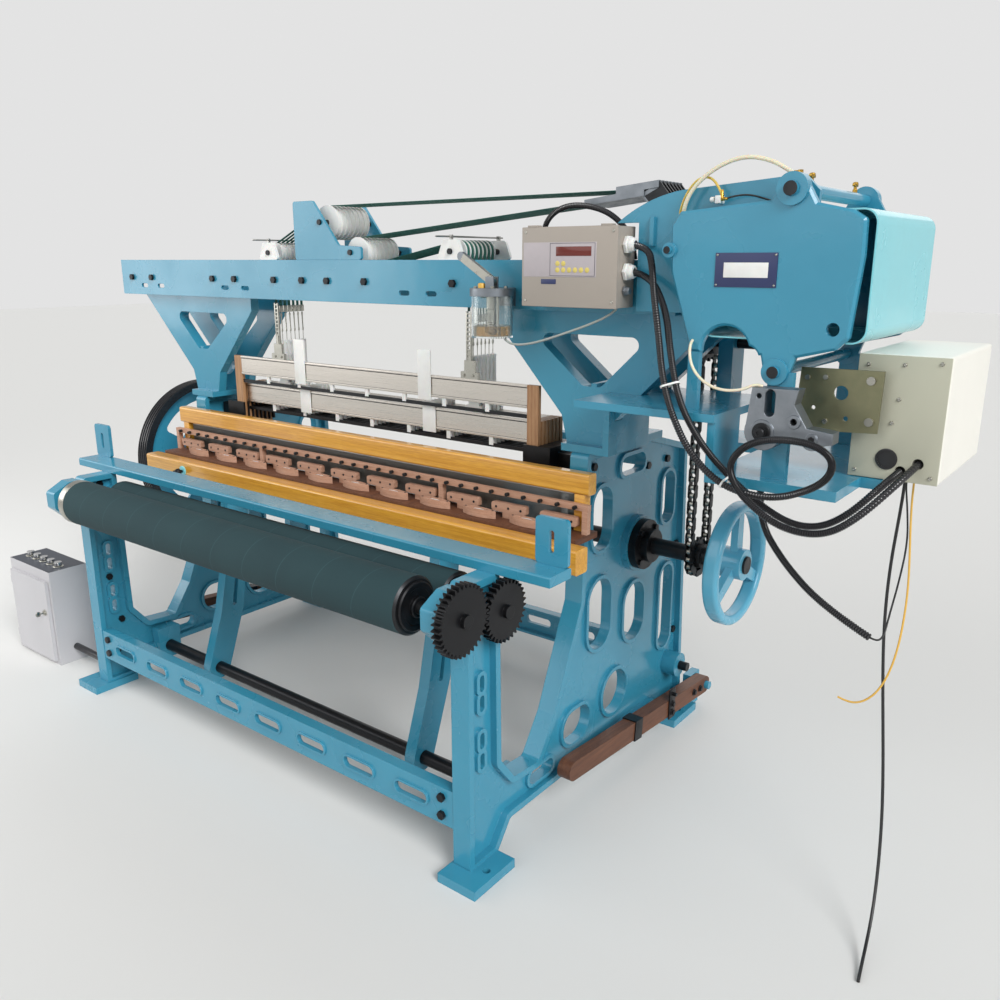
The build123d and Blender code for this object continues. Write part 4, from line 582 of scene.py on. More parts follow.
SUPPLY = [
    (1.760, 0.130, 1.125),
    (1.760, 0.130, 1.080),
    (1.757, 0.125, 0.995),
    (1.754, 0.113, 0.900),
    (1.757, 0.095, 0.800),
    (1.767, 0.073, 0.696),
    (1.783, 0.049, 0.592),
    (1.802, 0.022, 0.487),
    (1.821, -0.007, 0.385),
    (1.838, -0.039, 0.288),
    (1.851, -0.074, 0.200),
    (1.861, -0.113, 0.125),
    (1.869, -0.157, 0.066),
    (1.875, -0.208, 0.028),
    (1.882, -0.265, 0.009),
    (1.890, -0.320, 0.004),
]
print("routes:", [len(r) for r in (CONDUIT_A, CONDUIT_B, CONDUIT_C, SIGNAL_WIRE, EARTH, SUPPLY)])

# %% Ribbed conduits
def ribbed_conduit(name, node, route, radius=CONDUIT_R):
    rough = length_of(line_points(route_curve(name + "_rough", route, LEAD_STEPS)))
    rings = rough / (RIB_STEP_MM * MM) * RINGS_PER_RIB
    points = line_points(route_curve(name + "_line", route, round(rings / (len(route) - 2))))
    radii = [radius - (RIB_DEEP_MM * MM if i % RINGS_PER_RIB == 2 else 0) for i in range(len(points))]
    tube = smooth_object(name, tube_mesh(name, points, radii, TUBE_SIDES), materials["black_rubber"], 32)
    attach(tube, "loom_frame")
    if node:
        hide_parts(node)
    print(name, "length in metres", round(length_of(points), 3), "ribs", len(points) // RINGS_PER_RIB)
    return points


line_a = ribbed_conduit("signal_conduit", "conduit_a", CONDUIT_A)
line_b = ribbed_conduit("power_conduit", "conduit_b", CONDUIT_B)
ribbed_conduit("spare_conduit", "conduit_c", CONDUIT_C)

# %% Plain leads
LEAD_SIDES = 4


def plain_lead(name, node, route, radius, material):
    curve = route_curve(name, route, LEAD_STEPS)
    points = line_points(route_curve(name + "_line", route, LEAD_STEPS))
    curve.bevel_depth = radius
    curve.bevel_resolution = LEAD_SIDES
    curve.use_fill_caps = True
    curve.materials.append(materials[material])
    lead = bpy.data.objects.new(name, curve)
    bpy.context.scene.collection.objects.link(lead)
    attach(lead, "loom_frame")
    if node:
        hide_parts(node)
    print(name, "length in metres", round(length_of(points), 3))


plain_lead("signal_wire", None, SIGNAL_WIRE, SIGNAL_R, "black_pvc")
plain_lead("earth_lead", "earth_wire", EARTH, EARTH_R, "yellow_wire")
plain_lead("supply_lead", "supply_cable", SUPPLY, SUPPLY_R, "black_pvc")

# %% [markdown]
# ## Finishes on the solids
#
# Each solid has one record slot, but some real pieces mix finishes: a roller has cloth round it,
# a steel shaft and a black gear. A rule tests where a face lies and gives it another slot. The
# mesh itself is left as it is.

# %% Paint the solids
def paint(node, base, *rules):
    mesh = nodes[node].data
    names = [base] + [name for name, test in rules]
    mesh.materials.clear()
    for name in names:
        mesh.materials.append(materials[name])
    for face in mesh.polygons:
        face.material_index = 0
        for index, (name, test) in enumerate(rules):
            if test(face.center, face.normal):
                face.material_index = index + 1


materials["roller_cover"] = materials["cloth_wrap"]
for row in frame["record"]["subparts"]:
    if not nodes[row["node"]].hide_render:
        paint(row["node"], row["material_slot"])
print("solids painted from their slots")

# %% Drive and rollers
ROLLER_END = 0.821
GEAR_END = 0.955
TYRE_FROM = 0.318
CHAIN_HALF = 0.006
PIVOT_FROM = (0.9825, 0.5, 0.16)


def away(spot, y, z):
    return math.hypot(spot.y - y, spot.z - z)


crank_spot = middle("flywheel")
for roller, wrap in (("cloth_roller", "cloth_wrap"), ("take_up_roller", "take_up_wrap")):
    paint(roller, wrap,
          ("dark_steel", lambda c, n: abs(c.x) > ROLLER_END),
          ("black_iron", lambda c, n: c.x > GEAR_END))
paint("flywheel", "blue_paint",
      ("black_rubber", lambda c, n: away(c, crank_spot.y, crank_spot.z) > TYRE_FROM))
paint("handwheel", "wheel_paint")
paint("crankshaft", "dark_steel")
chain_x = middle("drive_chain").x
paint("drive_chain", "black_iron",
      ("zinc", lambda c, n: abs(n.x) < 0.5 and abs(c.x - chain_x) < CHAIN_HALF))
paint("frame_brackets", "blue_paint",
      ("dark_steel", lambda c, n: all(v > limit for v, limit in zip(c, PIVOT_FROM))))
print("drive and rollers painted")

# %% Heald frames
HEALDS = 7
HEALD_STEP = 0.020
FRONT_TOP = 1.265
OTHER_TOP = 1.155
RAIL_H = 0.072
BAR_DROP = 0.026
HEALD_H = 0.370
POST_IN = 0.698
HANGER_H = 0.058
BAR_HALF = (0.0025, 0.0065)
SKIN = 0.0005


def heald_top(index):
    return OTHER_TOP if index else FRONT_TOP


def on_bar(spot, y, bars):
    return abs(spot.y - y) < BAR_HALF[0] and min(abs(spot.z - z) for z in bars) < BAR_HALF[1]


for index in range(HEALDS):
    y0, top = index * HEALD_STEP, heald_top(index)
    bars = (top - RAIL_H - BAR_DROP, top - HEALD_H + RAIL_H + BAR_DROP)
    plate = "white_plastic" if index else "zinc"
    paint("heald_frame_%d" % (index + 1), "aluminium",
          ("white_plastic", lambda c, n: top - HEALD_H + RAIL_H < c.z < top - RAIL_H),
          ("dark_steel", lambda c, n: on_bar(c, y0, bars)),
          ("post_wood", lambda c, n: abs(c.x) > POST_IN - SKIN),
          (plate, lambda c, n: c.z > top + SKIN),
          ("zinc", lambda c, n: c.z > top + HANGER_H + SKIN))
print("heald frames painted:", HEALDS)

# %% Dobby, electrics and control box
FACING = 0.9
CABINET_FRONT, PLATE_FRONT = -0.0005, -0.0345
DESK_TOP, DESK_SIDE = 0.3995, -1.2445
DOOR_FACE, LOCK_HALF = -0.6248, 0.012
LOCK_X, LOCK_Z = -1.290, 0.230
JACK_TIP_END, CROSS_SHAFT_END = 1.114, 1.0
PUMP_GRIP_FROM = 1.62
PEG_RAIL_TOP, PEG_LOW, BATTEN_FACE = 0.8765, 0.94, -0.1302

paint("electrical_cabinet", "cream_box",
      ("front_grey", lambda c, n: n.y < -FACING),
      ("zinc_yellow", lambda c, n: c.y < CABINET_FRONT),
      ("zinc", lambda c, n: c.y < PLATE_FRONT))
paint("control_desk", "grey_box",
      ("slate", lambda c, n: c.z > DESK_TOP),
      ("black_rubber", lambda c, n: c.x > DESK_SIDE))
paint("desk_door", "grey_box", ("zinc", lambda c, n: c.y < DOOR_FACE and abs(c.x - LOCK_X) < LOCK_HALF))
paint("jack_levers", "dark_steel", ("cast_alloy", lambda c, n: c.x < JACK_TIP_END))
paint("tie_shafts", "blue_paint", ("dark_steel", lambda c, n: abs(n.y) > FACING or c.x < CROSS_SHAFT_END))
paint("pump_lever", "zinc", ("cast_alloy", lambda c, n: c.z > PUMP_GRIP_FROM))
paint("shuttle_battens", "pale_wood",
      ("lever_wood", lambda c, n: c.z < PEG_RAIL_TOP),
      ("dark_steel", lambda c, n: c.y < BATTEN_FACE and c.z > PEG_LOW))
print("dobby and electrics painted")

# %% Side levers
LEVER_PIN = (0.690, 0.095)
LEVER_SLOPE = math.radians(5)
CLAMP_AT, CLAMP_HALF = 0.520, 0.0235


def along_lever(spot):
    back, rise = LEVER_PIN[0] - spot.y, spot.z - LEVER_PIN[1]
    return back * math.cos(LEVER_SLOPE) + rise * math.sin(LEVER_SLOPE)


for lever in ("right_pick_lever", "left_pick_lever"):
    paint(lever, "lever_wood", ("black_iron", lambda c, n: abs(along_lever(c) - CLAMP_AT) < CLAMP_HALF))
print("levers painted")

# %% [markdown]
# ## Shape tools
#
# Small hardware on a loom is sawn, turned or bent. Helpers stand for these trades: a block with
# eased edges, a shape spun from half its outline, and a plate with holes cut from flat outlines.
# The wire bender is the tube maker from the cords. All of them add to one bmesh, so a cluster of
# fittings becomes one piece. A piece opens with its name, finish and body, and is fitted when its
# block of lines ends.

# %% Shape tools
RIGHT, BACK, UP, FRONT = (1, 0, 0), (0, 1, 0), (0, 0, 1), (0, -1, 0)


def eased_block(bm, low, high, ease_mm=0.8):
    size = [b - a for a, b in zip(low, high)]
    centre = [(a + b) / 2 for a, b in zip(low, high)]
    place = Matrix.Translation(centre) @ Matrix.Diagonal((*size, 1.0))
    corners = bmesh.ops.create_cube(bm, size=1.0, matrix=place)["verts"]
    edges = list({e for v in corners for e in v.link_edges})
    bmesh.ops.bevel(bm, geom=edges, offset=ease_mm * MM, segments=2, profile=0.6, affect="EDGES")


def turned(bm, outline_mm, at, axis, sides=20, ring=False):
    turn = Vector(UP).rotation_difference(Vector(axis)).to_matrix().to_4x4()
    place = Matrix.Translation(at) @ turn
    angles = [2 * math.pi * (k + 0.5) / sides for k in range(sides)]
    rings = []
    for r, h in outline_mm:
        spots = [Vector((r * math.cos(a), r * math.sin(a), h)) * MM for a in angles]
        rings.append([bm.verts.new(place @ spot) for spot in spots])
    join_rings(bm, rings + (rings[:1] if ring else []))
    if not ring:
        bm.faces.new(rings[0][::-1])
        bm.faces.new(rings[-1])


def cut_plate(bm, outlines, y, thick, ease_mm=1.0):
    curve = bpy.data.curves.new("cutting", "CURVE")
    curve.dimensions = "2D"
    curve.fill_mode = "BOTH"
    curve.extrude = thick / 2 - ease_mm * MM
    curve.bevel_depth = ease_mm * MM
    curve.offset = -ease_mm * MM
    for outline in outlines:
        spline = curve.splines.new("POLY")
        spline.points.add(len(outline) - 1)
        for point, (x, z) in zip(spline.points, outline):
            point.co = (x, z, 0, 1)
        spline.use_cyclic_u = True
    holder = bpy.data.objects.new("cutting", curve)
    bpy.context.scene.collection.objects.link(holder)
    bpy.context.view_layer.update()
    graph = bpy.context.evaluated_depsgraph_get()
    mesh = bpy.data.meshes.new_from_object(holder.evaluated_get(graph))
    mesh.transform(Matrix.Translation((0, y, 0)) @ Matrix.Rotation(math.pi / 2, 4, "X"))
    bm.from_mesh(mesh)
    bmesh.ops.remove_doubles(bm, verts=bm.verts, dist=0.01 * MM)
    bpy.data.objects.remove(holder)


def arc(centre, r, a0, a1, steps=12):
    turns = [math.radians(a0 + (a1 - a0) * i / steps) for i in range(steps + 1)]
    return [(centre[0] + r * math.cos(a), centre[1] + r * math.sin(a)) for a in turns]


print("shape tools ready")

# %% Pieces
def shaped(bm, name, material, angle):
    bmesh.ops.recalc_face_normals(bm, faces=bm.faces)
    mesh = bpy.data.meshes.new(name)
    bm.to_mesh(mesh)
    bm.free()
    return smooth_object(name, mesh, materials[material], angle)


@contextmanager
def piece(name, material, slot, body="loom_frame", angle=40, node=None):
    bm = bmesh.new()
    yield bm
    made = shaped(bm, name, material, angle)
    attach(made, body)
    if node:
        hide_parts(node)


SCREW = [(5.0, 0.0), (5.0, 1.0), (4.2, 3.0), (2.6, 3.4), (2.6, 2.2), (0.4, 2.2)]
print("a screw head has", len(SCREW), "outline points")

# %% [markdown]
# ## Lifting belts
#
# Each heald frame hangs on two flat woven belts. One pair of belts runs from the top of a dobby
# lever over the upper and left rollers, the other over the lower and right ones. A belt is a band
# swept along straight runs and arcs. Its drop has to shorten when the frame rises; here every belt
# is a piece of its own with a fixed drop.

# %% Belt routes
UPPER_ROLL = ((-0.150, 1.754), 0.0548)
LOWER_ROLL = ((-0.005, 1.654), 0.0478)
LEFT_ROLL = ((-0.434, 1.655), 0.0328)
RIGHT_ROLL = ((0.434, 1.655), 0.0328)
HIGH_START_X = 0.985
LOW_START = (0.886, 1.781)
ARC_STEPS = 14


def tangent(roll, other, other_r):
    (x, z), r = roll
    dx, dz = other[0] - x, other[1] - z
    return math.atan2(dz, dx) + math.acos((r - other_r) / math.hypot(dx, dz))


def round_roll(roll, a0, a1):
    return arc(*roll, math.degrees(a0), math.degrees(a1), ARC_STEPS)


def left_route(low_z):
    over = tangent(LEFT_ROLL, *UPPER_ROLL)
    route = [(HIGH_START_X, UPPER_ROLL[0][1] + UPPER_ROLL[1])] + round_roll(UPPER_ROLL, math.pi / 2, over)
    return route + round_roll(LEFT_ROLL, over, math.pi) + [(LEFT_ROLL[0][0] - LEFT_ROLL[1], low_z)]


def right_route(low_z):
    run = tangent(LOWER_ROLL, LOW_START, 0)
    under = -tangent(LOWER_ROLL, RIGHT_ROLL[0], -RIGHT_ROLL[1])
    route = [LOW_START] + round_roll(LOWER_ROLL, run, 2 * math.pi + under)
    return route + round_roll(RIGHT_ROLL, math.pi + under, 0) + [(RIGHT_ROLL[0][0] + RIGHT_ROLL[1], low_z)]


# %% Belts
BELT_HALF = 0.006
BELT_T = 0.0018
EDGE_SHARE = 0.9
BELT_END_FRONT = 1.475
BELT_END_OTHER = 1.452


def belt(name, route, y):
    bm = bmesh.new()
    rings = []
    wide, inner = Vector((0, BELT_HALF, 0)), Vector((0, BELT_HALF * EDGE_SHARE, 0))
    for i, (x, z) in enumerate(route):
        (x0, z0), (x1, z1) = route[max(i - 1, 0)], route[min(i + 1, len(route) - 1)]
        ahead = Vector((x1 - x0, 0, z1 - z0)).normalized()
        out = Vector((-ahead.z, 0, ahead.x)) * BELT_T / 2
        section = [-wide, out - inner, out + inner, wide, inner - out, -inner - out]
        rings.append([bm.verts.new(Vector((x, y, z)) + v) for v in section])
    join_rings(bm, rings)
    bm.faces.new(rings[0])
    bm.faces.new(rings[-1][::-1])
    made = shaped(bm, name, "strap_green", 50)
    x, z = route[-1]
    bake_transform(made)
    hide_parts("lifting_straps")


for index in range(HEALDS):
    low_z = BELT_END_OTHER if index else BELT_END_FRONT
    for side, route in (("left", left_route(low_z)), ("right", right_route(low_z))):
        belt("%s_belt_%d" % (side, index + 1), route, index * HEALD_STEP)
print("belts:", 2 * HEALDS, "with", len(left_route(low_z)), "and", len(right_route(low_z)), "points")

# %% [markdown]
# ## Controller and gear case
#
# The controller is a folded steel case with a lid. Its front has a film with a dark display window
# and two rows of membrane keys. The film and the small badge below it are bare. The gear case
# beside the cabinet is a die casting with a slot, bosses and a shaft end. The cabinet itself is
# closed by a screwed front sheet with a round cable hole.

# %% Controller case and glands
LID_FACE = -0.150
CASE_BACK = ((0.7815, -0.141, 1.5085), (1.0785, -0.058, 1.7135))
CASE_LID = ((0.780, LID_FACE, 1.507), (1.080, -0.1395, 1.715))
CASE_MOUNT = ((0.860, -0.0585, 1.520), (1.000, -0.050, 1.620))
GLAND_ZS = (1.668, 1.600)
GLAND_AT = (1.080, -0.104)
GLAND_NUT = [(23, 0), (24, 1.5), (24, 9), (22, 10.5)]
GLAND_DOME = [(10.2, 9), (18, 9), (18.5, 12), (18, 19), (15.5, 25), (10.2, 26.5)]

with piece("controller_case", "warm_grey", "warm_grey", node="controller") as bm:
    for box, ease_mm in ((CASE_BACK, 2.0), (CASE_LID, 2.4), (CASE_MOUNT, 1.0)):
        eased_block(bm, *box, ease_mm)
with piece("cable_glands", "white_plastic", "white_plastic", node="controller") as bm:
    for z in GLAND_ZS:
        turned(bm, GLAND_NUT, (*GLAND_AT, z), RIGHT, 6)
        turned(bm, GLAND_DOME, (*GLAND_AT, z), RIGHT, 24, True)
print("glands:", len(GLAND_ZS))

# %% Controller front
FILM_X, FILM_Z = (0.786, 1.018), (1.586, 1.675)
WINDOW_X, WINDOW_Z = (0.893, 1.003), (1.640, 1.664)
BADGE_X, BADGE_Z = (0.845, 0.893), (1.567, 1.580)
BORDER_X, BORDER_Z = (0.874, 1.014), (1.589, 1.6725)
BORDER_HALF = 0.0005
FILM_DEEP = 0.001
KEY_START, KEY_STEP = 0.898, 0.0186
KEYS_LOW = [KEY_START + i * KEY_STEP for i in range(6)]
KEY_ROWS = ((KEYS_LOW, 1.604), (KEYS_LOW[:2], 1.6205))
KEY = [(7.0, 0.0), (7.0, 1.2), (6.0, 1.9), (1.0, 2.1)]


def on_lid(bm, xs, zs, proud_mm, deep, ease_mm):
    low, high = (xs[0], LID_FACE - proud_mm * MM, zs[0]), (xs[1], LID_FACE + deep, zs[1])
    eased_block(bm, low, high, ease_mm)


with piece("controller_film", "panel_film", "warm_grey", node="controller") as bm:
    on_lid(bm, FILM_X, FILM_Z, 0.8, FILM_DEEP, 0.3)
with piece("display_window", "red_window", "warm_grey", node="controller") as bm:
    on_lid(bm, WINDOW_X, WINDOW_Z, 1.6, 0, 0.5)
with piece("membrane_keys", "key_pad", "warm_grey", node="controller") as bm:
    for xs, z in KEY_ROWS:
        for x in xs:
            turned(bm, KEY, (x, LID_FACE, z), FRONT, 12)
with piece("bare_badge", "blue_plate", "warm_grey", node="controller") as bm:
    on_lid(bm, BADGE_X, BADGE_Z, 1.2, FILM_DEEP, 0.5)
with piece("film_border", "slate", "warm_grey", node="controller") as bm:
    for z in BORDER_Z:
        on_lid(bm, BORDER_X, (z - BORDER_HALF, z + BORDER_HALF), 1.3, 0, 0.2)
    for x in BORDER_X:
        on_lid(bm, (x - BORDER_HALF, x + BORDER_HALF), BORDER_Z, 1.3, 0, 0.2)
print("keys:", sum(len(xs) for xs, z in KEY_ROWS))

# %% Gear case
CASE_SHAFT = (1.510, 1.243)
CASE_FOOT = (1.626, 1.238)
CASE_PLUG = (1.583, 1.274)
CASE_STEP = [(1.588, 1.347), (1.580, 1.312), (1.612, 1.262), (1.672, 1.256), (1.672, 1.230)]
CASE_EDGE = [(1.478, 1.344)] + CASE_STEP + arc(CASE_FOOT, 0.026, -30, -150)
CASE_EDGE += [(1.580, 1.226)] + arc(CASE_SHAFT, 0.044, -32, -200, 18)
CASE_SLOT = arc((1.523, 1.330), 0.012, 0, 180) + arc((1.523, 1.292), 0.012, 180, 360)
CASE_HOLES = [arc((1.496, 1.326), 0.006, 0, 330, 11), arc(CASE_PLUG, 0.008, 0, 330, 11)]
CASE_MID, CASE_THICK = -0.173, 0.046
BOSS_FACE, SHAFT_FACE = -0.1945, -0.196
BOSSES_MM = ((CASE_SHAFT, 30), (CASE_PLUG, 17), (CASE_FOOT, 15))
SHAFT_END = [(22, -2), (22, 8), (21, 9), (13, 9), (13, 22), (11.5, 24), (5, 24), (5, 21)]
FOOT_BOLT = [(8, -4), (8, 6), (7, 7.5), (1, 7.5)]
PLUG = [(7, -30), (7, -18), (5, -16)]
SHAFT_PARTS = ((SHAFT_END, CASE_SHAFT, 24), (FOOT_BOLT, CASE_FOOT, 6), (PLUG, CASE_PLUG, 12))

with piece("gear_casting", "cast_alloy", "cast_alloy", angle=35, node="gear_case") as bm:
    cut_plate(bm, [CASE_EDGE, CASE_SLOT] + CASE_HOLES, CASE_MID, CASE_THICK, 2.0)
    for (x, z), r in BOSSES_MM:
        turned(bm, [(r, 0), (r - 2, 6), (r - 9, 6), (r - 9, 0)], (x, BOSS_FACE, z), FRONT, 28, True)
with piece("gear_case_shaft", "dark_steel", "steel", angle=35, node="gear_case") as bm:
    for outline, (x, z), sides in SHAFT_PARTS:
        turned(bm, outline, (x, SHAFT_FACE, z), FRONT, sides)
print("gear case cut with", len(CASE_HOLES) + 1, "openings")

# %% Cabinet front
SHEET_EDGE = [(1.657, 1.1265), (1.858, 1.1265), (1.858, 1.4185), (1.657, 1.4185)]
SHEET_THICK = 0.0024
SHEET_FACE = -0.0022
HOLE_AT = (1.742, 1.176)
SHEET_HOLES = [arc(HOLE_AT, 0.021, 0, 345, 23)]
SHEET_HOLES += [arc(spot, 0.0125, 0, 340, 17) for spot in ((1.775, 1.150), (1.812, 1.172))]
SHEET_SCREWS = [(1.680, 1.395), (1.760, 1.398), (1.838, 1.405), (1.755, 1.318), (1.745, 1.262)]
SHEET_SCREWS += [(1.672, 1.142), (1.842, 1.142)]
GROMMET_WEB = [(21, 0.2), (21, 0.5), (4, 0.7)]
GROMMET_LIP = [(25, 0), (25, 2.6), (23, 3.6), (20.5, 3.2), (20.5, 0)]

with piece("cabinet_sheet", "front_grey", "cream_box", angle=30) as bm:
    cut_plate(bm, [SHEET_EDGE] + SHEET_HOLES, -SHEET_THICK / 2, SHEET_THICK, 0.6)
with piece("sheet_screws", "zinc", "steel") as bm:
    for x, z in SHEET_SCREWS:
        turned(bm, SCREW, (x, SHEET_FACE, z), FRONT, 12)
with piece("cable_grommet", "black_rubber", "black_rubber") as bm:
    turned(bm, GROMMET_WEB, (HOLE_AT[0], 0.0, HOLE_AT[1]), FRONT, 28)
    turned(bm, GROMMET_LIP, (HOLE_AT[0], SHEET_FACE, HOLE_AT[1]), FRONT, 32, True)
print("cabinet front cut with", len(SHEET_HOLES), "holes")

# %% [markdown]
# ## Hangers and heald rails
#
# Below its belt each frame hangs on a screwed link, a turned rod with a thicker sleeve that sets
# the height, and on a white plate below that. The front frame has a pierced flat strip instead.
# The rails are extruded, so lips run along their edges. Thin dark steel strips below the lips are
# painted shade that stands for the shadow in the rails' grooves. White guide plates are screwed on
# to keep neighbouring frames apart.

# %% Links
HANGER_X = 0.4668
PLATE_TOP = 1.335
PLATE_HALF = (0.011, 0.0046)
PLATE_SCREW_DROPS = (0.012, 0.056)
CLIP_HALF = (0.005, 0.007, 0.012)
SEAT = 0.004
SLEEVE = [(1.4, 0), (1.4, 34), (3.6, 36), (3.6, 44), (2.6, 46), (2.6, 92), (3.6, 94), (3.6, 102), (1.4, 104)]
link_mm = (BELT_END_OTHER - PLATE_TOP) / MM
LINK = SLEEVE + [(1.4, link_mm - 10), (4.0, link_mm - 8), (4.0, link_mm + 8)]

for index in range(1, HEALDS):
    body, y = "heald_%d" % (index + 1), index * HEALD_STEP
    with piece("lift_links_%d" % (index + 1), "zinc", "steel", body) as bm:
        for x in (-HANGER_X, HANGER_X):
            turned(bm, LINK, (x, y, PLATE_TOP - SEAT / 2), UP, 8)
            spot, half = Vector((x, y, BELT_END_OTHER)), Vector(CLIP_HALF)
            eased_block(bm, spot - half, spot + half)
    with piece("lift_plates_%d" % (index + 1), "white_plastic", "white_plastic", body) as bm:
        for x in (-HANGER_X, HANGER_X):
            foot = heald_top(index) + HANGER_H - SEAT
            across, deep = PLATE_HALF
            eased_block(bm, (x - across, y - deep, foot), (x + across, y + deep, PLATE_TOP), 1.0)
            for drop in PLATE_SCREW_DROPS:
                turned(bm, SCREW, (x, y - deep, PLATE_TOP - drop), FRONT, 8)
print("links and plates:", 2 * (HEALDS - 1), "of each")

# %% Front strip
STRIP_LOW = FRONT_TOP + 0.058
STRIP_RAIL = (0.008, 0.003, 0.0035)
STRIP_STEP = 0.014
RUNG_HALF = (0.0105, 0.003)
RUNG_H = 0.0055
RUNG_START = 0.002
EAR_SCREW = (0.018, -0.006, FRONT_TOP + 0.011)

with piece("lift_links_1", "zinc", "steel", "heald_1") as bm:
    out, half, deep = STRIP_RAIL
    across, rung_deep = RUNG_HALF
    for x in (-HANGER_X, HANGER_X):
        for rail in (x - out, x + out):
            eased_block(bm, (rail - half, -deep, STRIP_LOW), (rail + half, deep, BELT_END_FRONT), 0.6)
        rungs = math.ceil((BELT_END_FRONT - STRIP_LOW - RUNG_START) / STRIP_STEP)
        for z in [STRIP_LOW + RUNG_START + i * STRIP_STEP for i in range(rungs)]:
            eased_block(bm, (x - across, -rung_deep, z), (x + across, rung_deep, z + RUNG_H), 0.5)
        for side in (-1, 1):
            turned(bm, SCREW, (x + side * EAR_SCREW[0], *EAR_SCREW[1:]), FRONT, 6)
print("rungs in a strip:", rungs)

# %% Rail lips, painted groove shade and guide plates
RAIL_HALF = 0.006
LIP, LIP_H = 0.0028, 0.0050
LIP_DROPS = (0.007, RAIL_H - 0.003)
GROOVE_SHADE_HALF, GROOVE_SHADE_H = 0.0004, 0.0026
GROOVE_SHADE_DROPS = (0.0105, RAIL_H - 0.0065)
GUIDE_XS = (-0.344, 0.280)
GUIDE_HALF, GUIDE_BACK_HALF = 0.029, 0.020
GUIDE_FRONT, GUIDE_T, GUIDE_BACK = 0.0098, 0.002, 0.004
GUIDE_FOOT = 0.084
GUIDE_RISE_FRONT, GUIDE_RISE_OTHER = 0.082, 0.018
GUIDE_SCREW_DROPS = (0.012, 0.060)
GUIDE_SCREW = [(3.0, 0.0), (3.0, 0.6), (2.0, 0.8), (0.3, 0.3)]

for index in range(HEALDS):
    number, body = index + 1, "heald_%d" % (index + 1)
    y, top = index * HEALD_STEP, heald_top(index)
    rail_tops = (top, top - HEALD_H + RAIL_H)
    with piece("rail_lips_%d" % number, "aluminium", "aluminium", body) as bm:
        for z in [rail_top - drop for rail_top in rail_tops for drop in LIP_DROPS]:
            for face in (y - RAIL_HALF - LIP, y + RAIL_HALF):
                eased_block(bm, (-POST_IN, face, z), (POST_IN, face + LIP, z + LIP_H), 0.5)
    # Painted shade: a thin dark steel strip just proud of the flat rail face stands for the shadow in each
    # groove.
    with piece("rail_groove_shade_strips_%d" % number, "dark_steel", "steel", body) as bm:
        for z in [rail_top - drop for rail_top in rail_tops for drop in GROOVE_SHADE_DROPS]:
            deep, proud = y - RAIL_HALF + GROOVE_SHADE_HALF, y - RAIL_HALF - GROOVE_SHADE_HALF
            eased_block(bm, (-POST_IN, proud, z), (POST_IN, deep, z + GROOVE_SHADE_H), 0.2)
    with piece("guide_plates_%d" % number, "white_plastic", "white_plastic", body) as bm:
        high = top + (GUIDE_RISE_OTHER if index else GUIDE_RISE_FRONT)
        front = y - GUIDE_FRONT
        back = front + GUIDE_T
        for x in GUIDE_XS:
            eased_block(bm, (x - GUIDE_HALF, front, top - GUIDE_FOOT), (x + GUIDE_HALF, back, high), 0.7)
            eased_block(bm, (x - GUIDE_BACK_HALF, back, top + SEAT / 2),
                        (x + GUIDE_BACK_HALF, y + GUIDE_BACK, high - SEAT), 0.7)
            for drop in GUIDE_SCREW_DROPS:
                turned(bm, GUIDE_SCREW, (x, front, top - drop), FRONT, 8)
print("lips, grooves and guide plates on", HEALDS, "frames")

# %% [markdown]
# ## Reed
#
# The reed is a comb of flat steel wires that beats the weft home. A real one has a wire every
# millimetre or two. Here it has one every 4 mm, so that single wires still show, bound between two
# half round ribs, with the two wooden end posts that carry the cap.

# %% Reed
REED_X = 0.930
REED_Y = -0.092
REED_Z = (0.876, 0.985)
DENT_STEP, DENT_T, DENT_DEEP = 0.004, 0.0011, 0.004
RIB_IN, RIB_OFF = 0.004, 0.0035
POST_X = (0.940, 0.975)
POST_HALF = 0.016

with piece("reed_dents", "steel", "steel", "sley", 30, "reed") as bm:
    count = int(2 * REED_X / DENT_STEP) + 1
    dent = Matrix.Diagonal((DENT_T, DENT_DEEP, REED_Z[1] - REED_Z[0], 1))
    for i in range(count):
        place = Matrix.Translation((-REED_X + i * DENT_STEP, REED_Y, sum(REED_Z) / 2))
        bmesh.ops.create_cube(bm, size=1.0, matrix=place @ dent)
    long_mm = 2 * REED_X / MM
    rib = [(1.2, 0), (2.6, 4), (2.6, long_mm - 4), (1.2, long_mm)]
    for z in (REED_Z[0] + RIB_IN, REED_Z[1] - RIB_IN):
        for y in (REED_Y - RIB_OFF, REED_Y + RIB_OFF):
            turned(bm, rib, (-REED_X, y, z), RIGHT, 10)
with piece("reed_posts", "varnished_wood", "varnished_wood", "sley", node="reed") as bm:
    for side in (-1, 1):
        a, b = sorted(side * x for x in POST_X)
        eased_block(bm, (a, REED_Y - POST_HALF, REED_Z[0]), (b, REED_Y + POST_HALF, REED_Z[1]), 1.5)
print("reed wires:", count)

# %% [markdown]
# ## Fittings of the sley, shuttles and rollers
#
# Small shuttles each carry a white bobbin between two studs. The beam has a clamping knob, the
# cloth roller has a bright hoop at its left end where the wrap is clamped, and both rollers close
# with a black cap.

# %% Bobbins, studs and screws
SHUTTLES = 10
SHUTTLE_STEP = 0.180
SHUTTLE_Y = -0.158
SHUTTLE_TOP = 0.900
BOBBIN_SINK = 0.005
HALF_BOBBIN = [(0.8, 29), (1.7, 28), (1.7, 22)]
BOBBIN = [(r, -h) for r, h in HALF_BOBBIN]
BOBBIN += [(3.6, -20), (4.4, -12), (4.4, 10), (3.0, 20)] + HALF_BOBBIN[::-1]
STUD = [(3.6, -0.5), (3.6, 0.8), (2.8, 1.5), (0.4, 1.2)]
STUD_OUT = 0.052
BATTEN_SCREW = [(4.0, -0.5), (4.0, 0.8), (3.0, 1.6), (0.5, 1.2)]
BATTEN_AT = (-0.130, 0.9075)
BATTEN_OUT = 0.046

